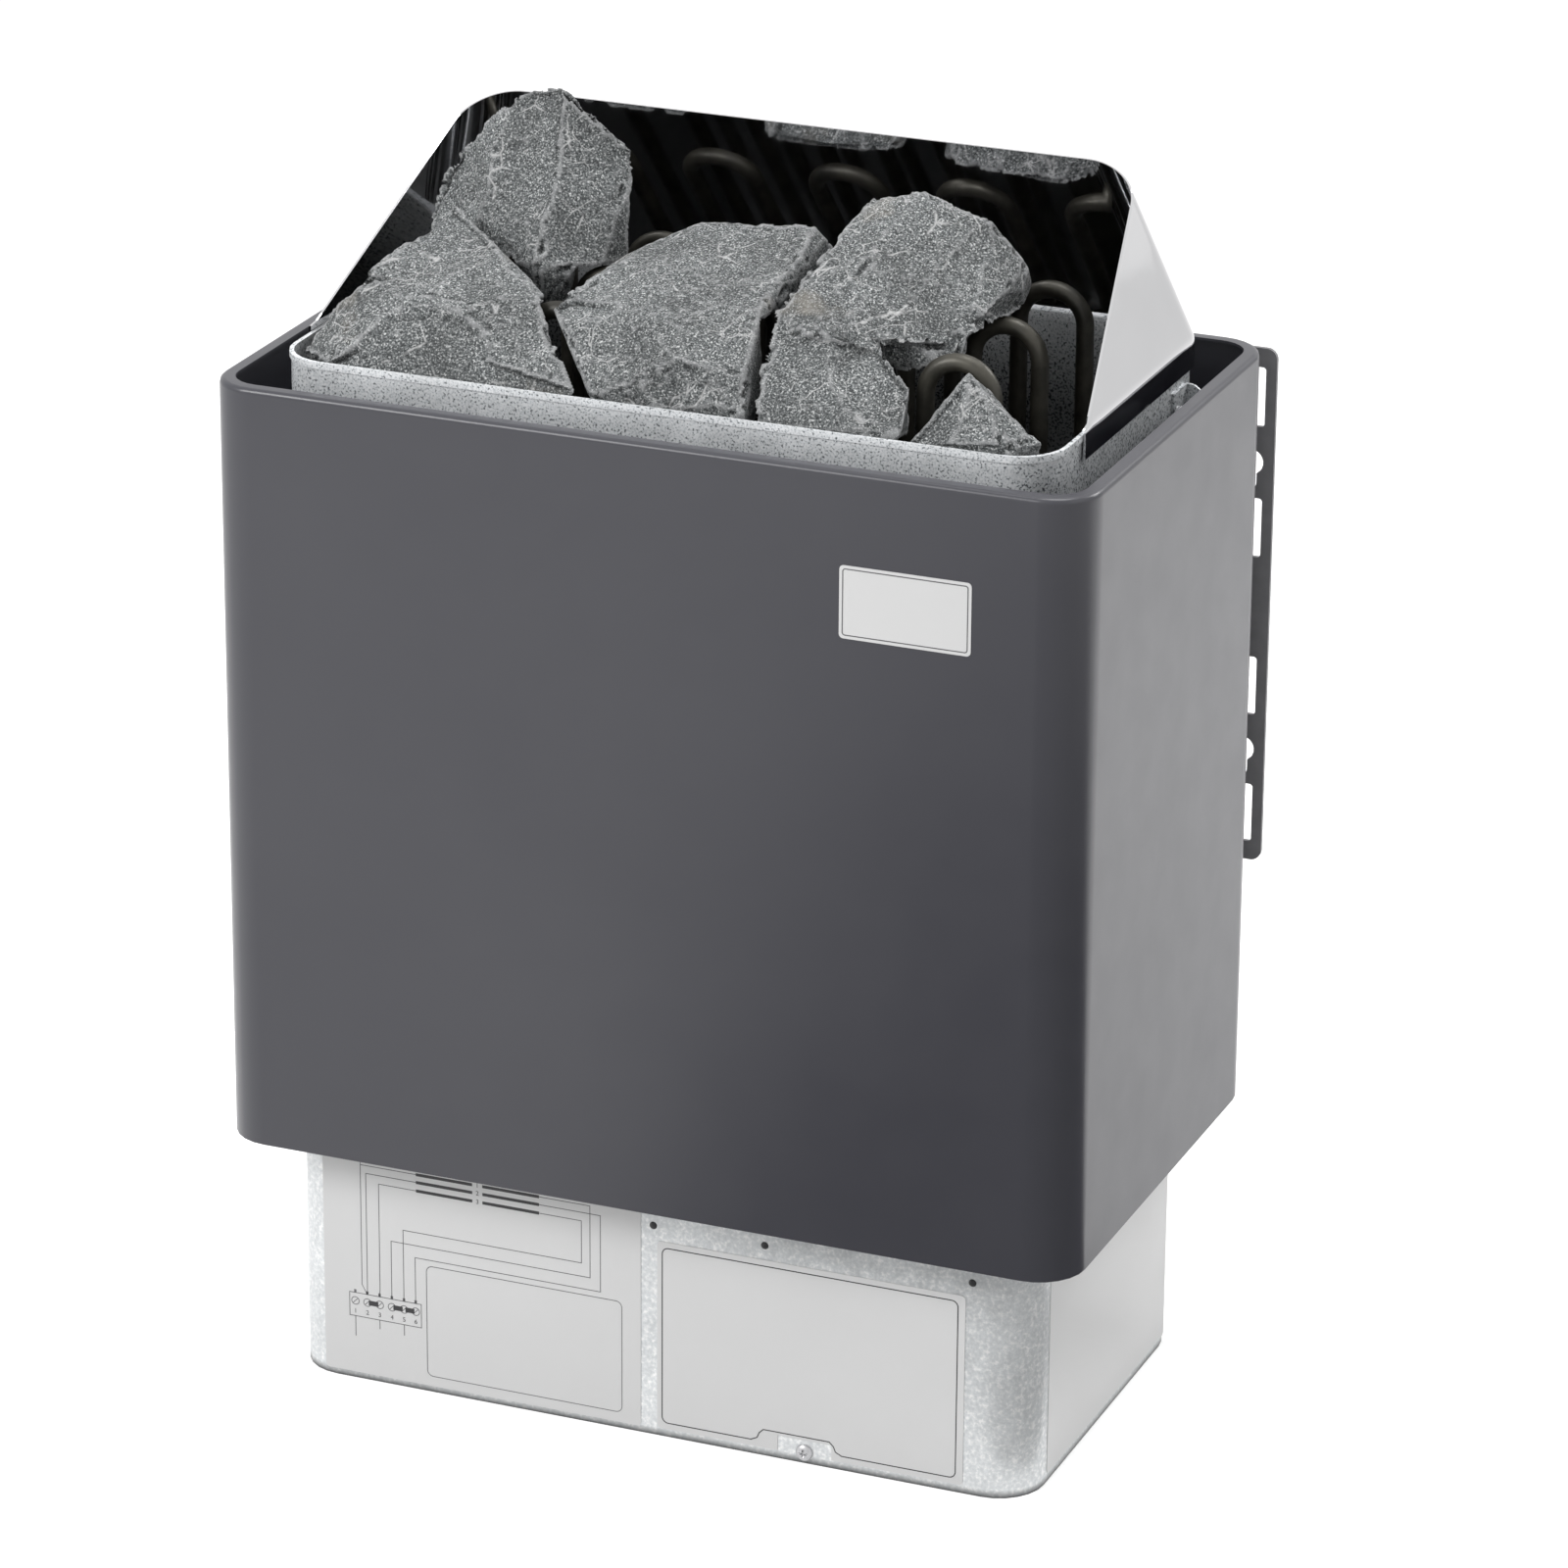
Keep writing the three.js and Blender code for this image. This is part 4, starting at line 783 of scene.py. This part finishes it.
def circle_path(x, z, r, steps=20):
    """Points round a circle in X and Z."""
    a = np.linspace(0, 2 * np.pi, steps, endpoint=False)
    return np.stack([x + r * np.cos(a), z + r * np.sin(a)], 1)


def frame_path(left, right, low, high, r, steps=6):
    """Points round a rounded rectangle in X and Z."""
    plan, _ = rounded_plan(right - left, high - low, r, (low + high) / 2, steps)
    return plan + [(left + right) / 2, 0]


# Wiring drawing, in millimetres: three heating rods, six numbered ways and the lines between them
ROD_Z = (108.1, 104.2, 100.0)
ROD_X = ((-117.1, -89.0), (-84.0, -55.9))
ROD_W = 1.5 * MM
ROD_FIGURE_X = -86.5
WAY_X = (-148.5, -142.4, -136.2, -130.0, -123.9, -118.0)
WAY_Z = 39.2
WAY_R = 1.9
WAY_SLOT = 1.1
WAY_FIGURE_Z = 34.0
TAB_H = 1.6
TAB_W = 1.2 * MM
LINK_WAYS = (1, 3, 4)
LINK_LAP = 1.2
LINK_W = 2.4 * MM
BLOCK_LEFT = -151.4
BLOCK_RIGHT = -115.2
BLOCK_LOW = 31.5
BLOCK_HIGH = 43.3
NOTE_FRAME = (-112.4, -15.3, 8.0, 63.4)
NOTE_R = 3.0
DIGIT_SIZE = 3.2 * MM
# Feeds: the riser's X, its top, the height where it bends, the way it starts from and the rod it feeds
FEEDS = (
    (-145.0, 118.0, 48.0, 1, ROD_Z[0]),
    (-142.3, ROD_Z[1], 47.0, 1, ROD_Z[1]),
    (-135.9, ROD_Z[2], 47.0, 2, ROD_Z[2]),
)
# Returns: the way it starts from, the height where it crosses, the riser's X and the rod it ends on
RETURNS = ((3, 72.5, -30.9, ROD_Z[0]), (4, 79.1, -35.1, ROD_Z[2]), (5, 66.4, -25.8, ROD_Z[1]))
# Drops: the way, and the height of the line's foot
DROPS = ((0, 21.4), (2, 26.9), (4, 26.0))
paper_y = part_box("wiring_sticker")[0].y


def inked(path, width=LINE_W, closed=False):
    """A strip of ink on the wiring sticker."""
    return printed_strip(path, width, paper_y, closed)


wiring = []
for x, top, bend, way, rod in FEEDS:
    wiring.append(inked([(x, top), (x, bend), (WAY_X[way], BLOCK_HIGH)]))
    wiring.append(inked([(x, rod), (ROD_X[0][0], rod)]))
for way, level, riser, rod in RETURNS:
    x = WAY_X[way]
    wiring.append(inked([(x, BLOCK_HIGH), (x, level), (riser, level), (riser, rod), (ROD_X[1][1], rod)]))
block = [
    (BLOCK_LEFT, BLOCK_LOW), (BLOCK_RIGHT, BLOCK_LOW), (BLOCK_RIGHT, BLOCK_HIGH), (BLOCK_LEFT, BLOCK_HIGH),
]
wiring.append(inked(block, closed=True))
for x in WAY_X:
    wiring.append(inked(circle_path(x, WAY_Z, WAY_R), closed=True))
    wiring.append(inked([(x - WAY_SLOT, WAY_Z - WAY_SLOT), (x + WAY_SLOT, WAY_Z + WAY_SLOT)]))
    wiring.append(inked([(x, BLOCK_HIGH), (x, BLOCK_HIGH + TAB_H)], TAB_W))
for way, foot in DROPS:
    wiring.append(inked([(WAY_X[way], BLOCK_LOW), (WAY_X[way], foot)]))
wiring.append(inked(frame_path(*NOTE_FRAME, NOTE_R), closed=True))
place("wiring_lines", make_mesh("wiring_lines", *joined(wiring)), grey_ink)

links = [inked([(left, z), (right, z)], ROD_W) for left, right in ROD_X for z in ROD_Z]
for way in LINK_WAYS:
    start = WAY_X[way] + WAY_R - LINK_LAP
    end = WAY_X[way + 1] - WAY_R + LINK_LAP
    links.append(printed_strip([(start, WAY_Z), (end, WAY_Z)], LINK_W, paper_y - INK_PROUD / 2))
place("wiring_links", make_mesh("wiring_links", *joined(links)), black_ink)


def printed_digit(text, x, z, face_y):
    """Points and faces of one figure, centred on a place and laid upright on a sticker's face."""
    curve = bpy.data.curves.new("digit", "FONT")
    curve.body = text
    curve.size = DIGIT_SIZE
    curve.align_x = "CENTER"
    curve.align_y = "CENTER"
    curve.extrude = (INK_PROUD + INK_SUNK) / 2
    curve.resolution_u = 4
    made = add_object("digit", curve)
    shown = made.evaluated_get(bpy.context.evaluated_depsgraph_get())
    mesh = bpy.data.meshes.new_from_object(shown)
    points, _, _ = mesh_arrays(mesh)
    middle = face_y + (INK_SUNK - INK_PROUD) / 2
    upright = np.stack([points[:, 0] + x * MM, middle - points[:, 2], points[:, 1] + z * MM], 1)
    faces = [list(polygon.vertices) for polygon in mesh.polygons]
    bpy.data.objects.remove(made)
    bpy.data.meshes.remove(mesh)
    bpy.data.curves.remove(curve)
    return upright, faces


digits = [printed_digit(str(k + 1), x, WAY_FIGURE_Z, paper_y) for k, x in enumerate(WAY_X)]
digits += [printed_digit(str(k + 1), ROD_FIGURE_X, z, paper_y) for k, z in enumerate(ROD_Z)]
place("wiring_figures", make_mesh("wiring_figures", *joined(digits)), black_ink)

# Blank sticker frames: the right-hand one lifts its lower line over the lid screw
FRAME_W = 0.5 * MM
DATA_LEFT = 2.5
DATA_RIGHT = 3.5
DATA_EDGE = 3.0
DATA_R = 3.0
LABEL_EDGE = 1.6
LABEL_R = 1.2
RAISED_LEFT = 51.0
RAISED_RIGHT = 89.0
RAISE = np.array([(-3.0, 0.0), (0.0, 1.5), (1.0, 4.0), (3.0, 6.0)])
data_low, data_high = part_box("data_sticker")
data_foot = data_low.z / MM + DATA_EDGE
outline = frame_path(
    data_low.x / MM + DATA_LEFT, data_high.x / MM - DATA_RIGHT,
    data_foot, data_high.z / MM - DATA_EDGE, DATA_R,
)
raise_up = RAISE + [RAISED_LEFT, data_foot]
raise_down = RAISE[::-1] * [-1, 1] + [RAISED_RIGHT, data_foot]
data_frame = printed_strip(np.concatenate([outline, raise_up, raise_down]), FRAME_W, data_low.y, True)
place("data_frame", make_mesh("data_frame", *data_frame), black_ink)
label_low, label_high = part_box("cover_sticker")
label_path = frame_path(
    label_low.x / MM + LABEL_EDGE, label_high.x / MM - LABEL_EDGE,
    label_low.z / MM + LABEL_EDGE, label_high.z / MM - LABEL_EDGE, LABEL_R,
)
label_frame = printed_strip(label_path, FRAME_W, label_low.y, True)
place("label_frame", make_mesh("label_frame", *label_frame), grey_ink)


# Screws with a cross recess, and domed rivets

SCREW_RIM = 0.5 * MM
SCREW_RINGS = 26
SCREW_SHANK_R = 1.9 * MM
CROSS_R = 2.1 * MM
CROSS_ARM = 0.9 * MM
CROSS_DEEP = 1.3 * MM
RIVET_HEAD_R = 1.8 * MM
RIVET_HEAD_H = 0.8 * MM
RIVET_RIM = 0.1 * MM
RIVET_RINGS = 10
RIVET_SHANK_R = 1.4 * MM
TIP_R = 0.1 * MM
DOME_TOP = 0.03
TURN_STEPS = 48


def turned(profile, seat, out, cross=0.0):
    """A turned form: rings (r, h) about the axis out from a seat, a cross sunk in its top to radius cross.
    Inside the cross an arm's points drop by CROSS_DEEP (1 - (r / cross)^2)."""
    r, h = np.asarray(profile).T
    a = np.linspace(0, 2 * np.pi, TURN_STEPS, endpoint=False)
    u = r[:, None] * np.cos(a)
    v = r[:, None] * np.sin(a)
    rise = np.repeat(h[:, None], TURN_STEPS, 1)
    if cross:
        in_arm = (np.minimum(np.abs(u), np.abs(v)) < CROSS_ARM / 2) & (r[:, None] < cross) & (rise > 0)
        rise = rise - np.where(in_arm, CROSS_DEEP * (1 - (r[:, None] / cross) ** 2), 0)
    out = np.asarray(out, float)
    up = np.array([0, 0, 1.0])
    side = np.cross(out, up)
    points = np.asarray(seat) + rise[..., None] * out + u[..., None] * side + v[..., None] * up
    faces = cells(len(r), TURN_STEPS, wrap_cols=True)[:, ::-1].tolist()
    first = list(range(TURN_STEPS))
    last = [(len(r) - 1) * TURN_STEPS + k for k in range(TURN_STEPS)]
    return points.reshape(-1, 3), faces + [first, last[::-1]]


def dome(radius, height, rim, steps):
    """Rings of a domed head from top to rim: r rises evenly, and h falls as a quarter ellipse to the rim."""
    r = np.linspace(DOME_TOP, 1, steps)
    return np.stack([radius * r, rim + (height - rim) * np.sqrt(1 - r**2)], 1)


def headed_pin(head, shank_r, length):
    """Rings of a headed pin: the head, its straight rim, a flat seat and a shank of that length."""
    tail = [(head[-1, 0], 0), (shank_r, 0), (shank_r, -length), (TIP_R, -length)]
    return np.concatenate([head, tail])


screw_head = dome(SCREW_HEAD_R, SCREW_HEAD_H, SCREW_RIM, SCREW_RINGS)
for name in [node for node in nodes if node.startswith(("lid_screw", "spacer_screw"))]:
    low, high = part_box(name)
    centre = (low + high) / 2
    if name.startswith("lid"):
        out = np.array([0, -1 if centre.y < 0 else 1, 0])
    else:
        out = np.array([-1 if centre.x < 0 else 1, 0, 0])
    length = np.abs(np.array(high - low) @ out) - SCREW_HEAD_H
    seat = np.array(centre) + out * (length - SCREW_HEAD_H) / 2
    form = headed_pin(screw_head, SCREW_SHANK_R, length)
    mesh = make_mesh(name, *turned(form, seat, out, CROSS_R))
    place("cross_" + name, mesh, finishes["zinc_screw"], BODY, [name])

rivet_head = dome(RIVET_HEAD_R, RIVET_HEAD_H, RIVET_RIM, RIVET_RINGS)
for name in [node for node in nodes if node.startswith("plate_rivet")]:
    low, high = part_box(name)
    length = high.y - low.y - RIVET_HEAD_H
    seat = ((low.x + high.x) / 2, low.y + RIVET_HEAD_H, (low.z + high.z) / 2)
    form = headed_pin(rivet_head, RIVET_SHANK_R, length)
    mesh = make_mesh(name, *turned(form, seat, (0, -1, 0)))
    place("domed_" + name, mesh, rivet_black, BODY, [name])


# Stage: floor, world, lamps and camera

def lit_backdrop(tree, plain, level):
    """A light's strength: the level to camera, mirror and glass rays, and the plain one to all others."""
    path = tree.nodes.new("ShaderNodeLightPath")
    seen = path.outputs["Is Camera Ray"]
    for other in ("Is Glossy Ray", "Is Transmission Ray"):
        either = add_node(tree, "Math", {0: seen, 1: path.outputs[other]}, operation="MAXIMUM")
        seen = either.outputs[0]
    pick = add_node(tree, "Math", {0: seen}, operation="MULTIPLY_ADD")
    pick.inputs[1].default_value = level - plain
    pick.inputs[2].default_value = plain
    return pick.outputs[0]


FLOOR_HALF = 6.0
FLOOR_LINES = 3
FLOOR_GLOW = 0.45
WORLD_LIGHT = 0.46

floor_steps = np.linspace(-FLOOR_HALF, FLOOR_HALF, FLOOR_LINES)
floor_x, floor_y = np.meshgrid(floor_steps, floor_steps, indexing="ij")
floor_points = np.stack([floor_x, floor_y, np.zeros_like(floor_x)], -1)
floor_cells = cells(FLOOR_LINES, FLOOR_LINES)[:, ::-1]
floor = add_object("floor", make_mesh("floor", floor_points, floor_cells))
floor_paint, tree, shader = start_material("floor_paint")
shader.inputs["Base Color"].default_value = (0.80, 0.80, 0.80, 1)
shader.inputs["Roughness"].default_value = 0.9
shader.inputs["Specular IOR Level"].default_value = 0.0
shader.inputs["Emission Color"].default_value = (1, 1, 1, 1)
tree.links.new(lit_backdrop(tree, 0.0, FLOOR_GLOW), shader.inputs["Emission Strength"])
floor.data.materials.append(floor_paint)

world = bpy.data.worlds.new("studio")
bpy.context.scene.world = world
world.use_nodes = True
sky = world.node_tree.nodes["Background"]
sky.inputs["Color"].default_value = (1, 1, 1, 1)
world.node_tree.links.new(lit_backdrop(world.node_tree, WORLD_LIGHT, 1.0), sky.inputs["Strength"])


def softbox(name, at, towards, size, power):
    """A square area lamp that faces a point."""
    lamp = bpy.data.lights.new(name, "AREA")
    lamp.shape = "SQUARE"
    lamp.size = size
    lamp.energy = power
    made = add_object(name, lamp)
    made.location = at
    made.rotation_euler = (Vector(towards) - Vector(at)).to_track_quat("-Z", "Y").to_euler()


MIDDLE = (0.0, 0.0, 0.35)
softbox("lamp_left", (-1.5, -2.0, 2.1), MIDDLE, 1.2, 56)
softbox("lamp_right", (2.6, -0.6, 1.6), MIDDLE, 1.6, 5)
softbox("lamp_top", (0.2, 0.3, 3.0), MIDDLE, 1.2, 34)
softbox("lamp_floor", (0.9, 1.0, 1.3), (0.6, 0.75, 0.0), 0.6, 11)

# Dark card over the floor, from the front round to the right: only the finishes' reflections see it
CARD_FROM = math.radians(-14)
CARD_TO = math.radians(112)
CARD_NEAR = 0.22
CARD_FAR = 1.3
CARD_Z = 0.003
CARD_STEPS = 17
card_turn = np.linspace(CARD_FROM, CARD_TO, CARD_STEPS)[None, :]
card_reach = np.array([CARD_NEAR, CARD_FAR])[:, None]
card_points = np.stack([
    card_reach * np.sin(card_turn), -card_reach * np.cos(card_turn), np.full((2, CARD_STEPS), CARD_Z),
], -1)
card = add_object("dark_card", make_mesh("dark_card", card_points, cells(2, CARD_STEPS)))
card_paint, _, shader = start_material("card_paint")
shader.inputs["Base Color"].default_value = (0.01, 0.01, 0.01, 1)
shader.inputs["Specular IOR Level"].default_value = 0.0
card.data.materials.append(card_paint)
card.visible_camera = False
card.visible_diffuse = False
card.visible_transmission = False
card.visible_shadow = False

# Camera, fitted to the cover's edges in the picture
CAMERA_AZIMUTH = math.radians(22.144)
CAMERA_ELEVATION = math.radians(21.338)
CAMERA_ROLL = math.radians(0.428)
CAMERA_PLACE = (1.13787, -2.74907, 1.44121)
CAMERA_LENS = 162.4
CAMERA_SENSOR = 36
CAMERA_REACH = 30

back = Vector((
    math.sin(CAMERA_AZIMUTH) * math.cos(CAMERA_ELEVATION),
    -math.cos(CAMERA_AZIMUTH) * math.cos(CAMERA_ELEVATION),
    math.sin(CAMERA_ELEVATION),
))
right = Vector((math.cos(CAMERA_AZIMUTH), math.sin(CAMERA_AZIMUTH), 0))
up = back.cross(right)
rolled_right = math.cos(CAMERA_ROLL) * right + math.sin(CAMERA_ROLL) * up
rolled_up = math.cos(CAMERA_ROLL) * up - math.sin(CAMERA_ROLL) * right
view = bpy.data.cameras.new("camera")
view.lens = CAMERA_LENS
view.sensor_width = CAMERA_SENSOR
view.clip_end = CAMERA_REACH
camera = add_object("camera", view)
turn = Matrix((rolled_right, rolled_up, back)).transposed().to_4x4()
camera.matrix_world = Matrix.Translation(CAMERA_PLACE) @ turn
bpy.context.scene.camera = camera
bpy.context.scene.view_settings.view_transform = "Standard"
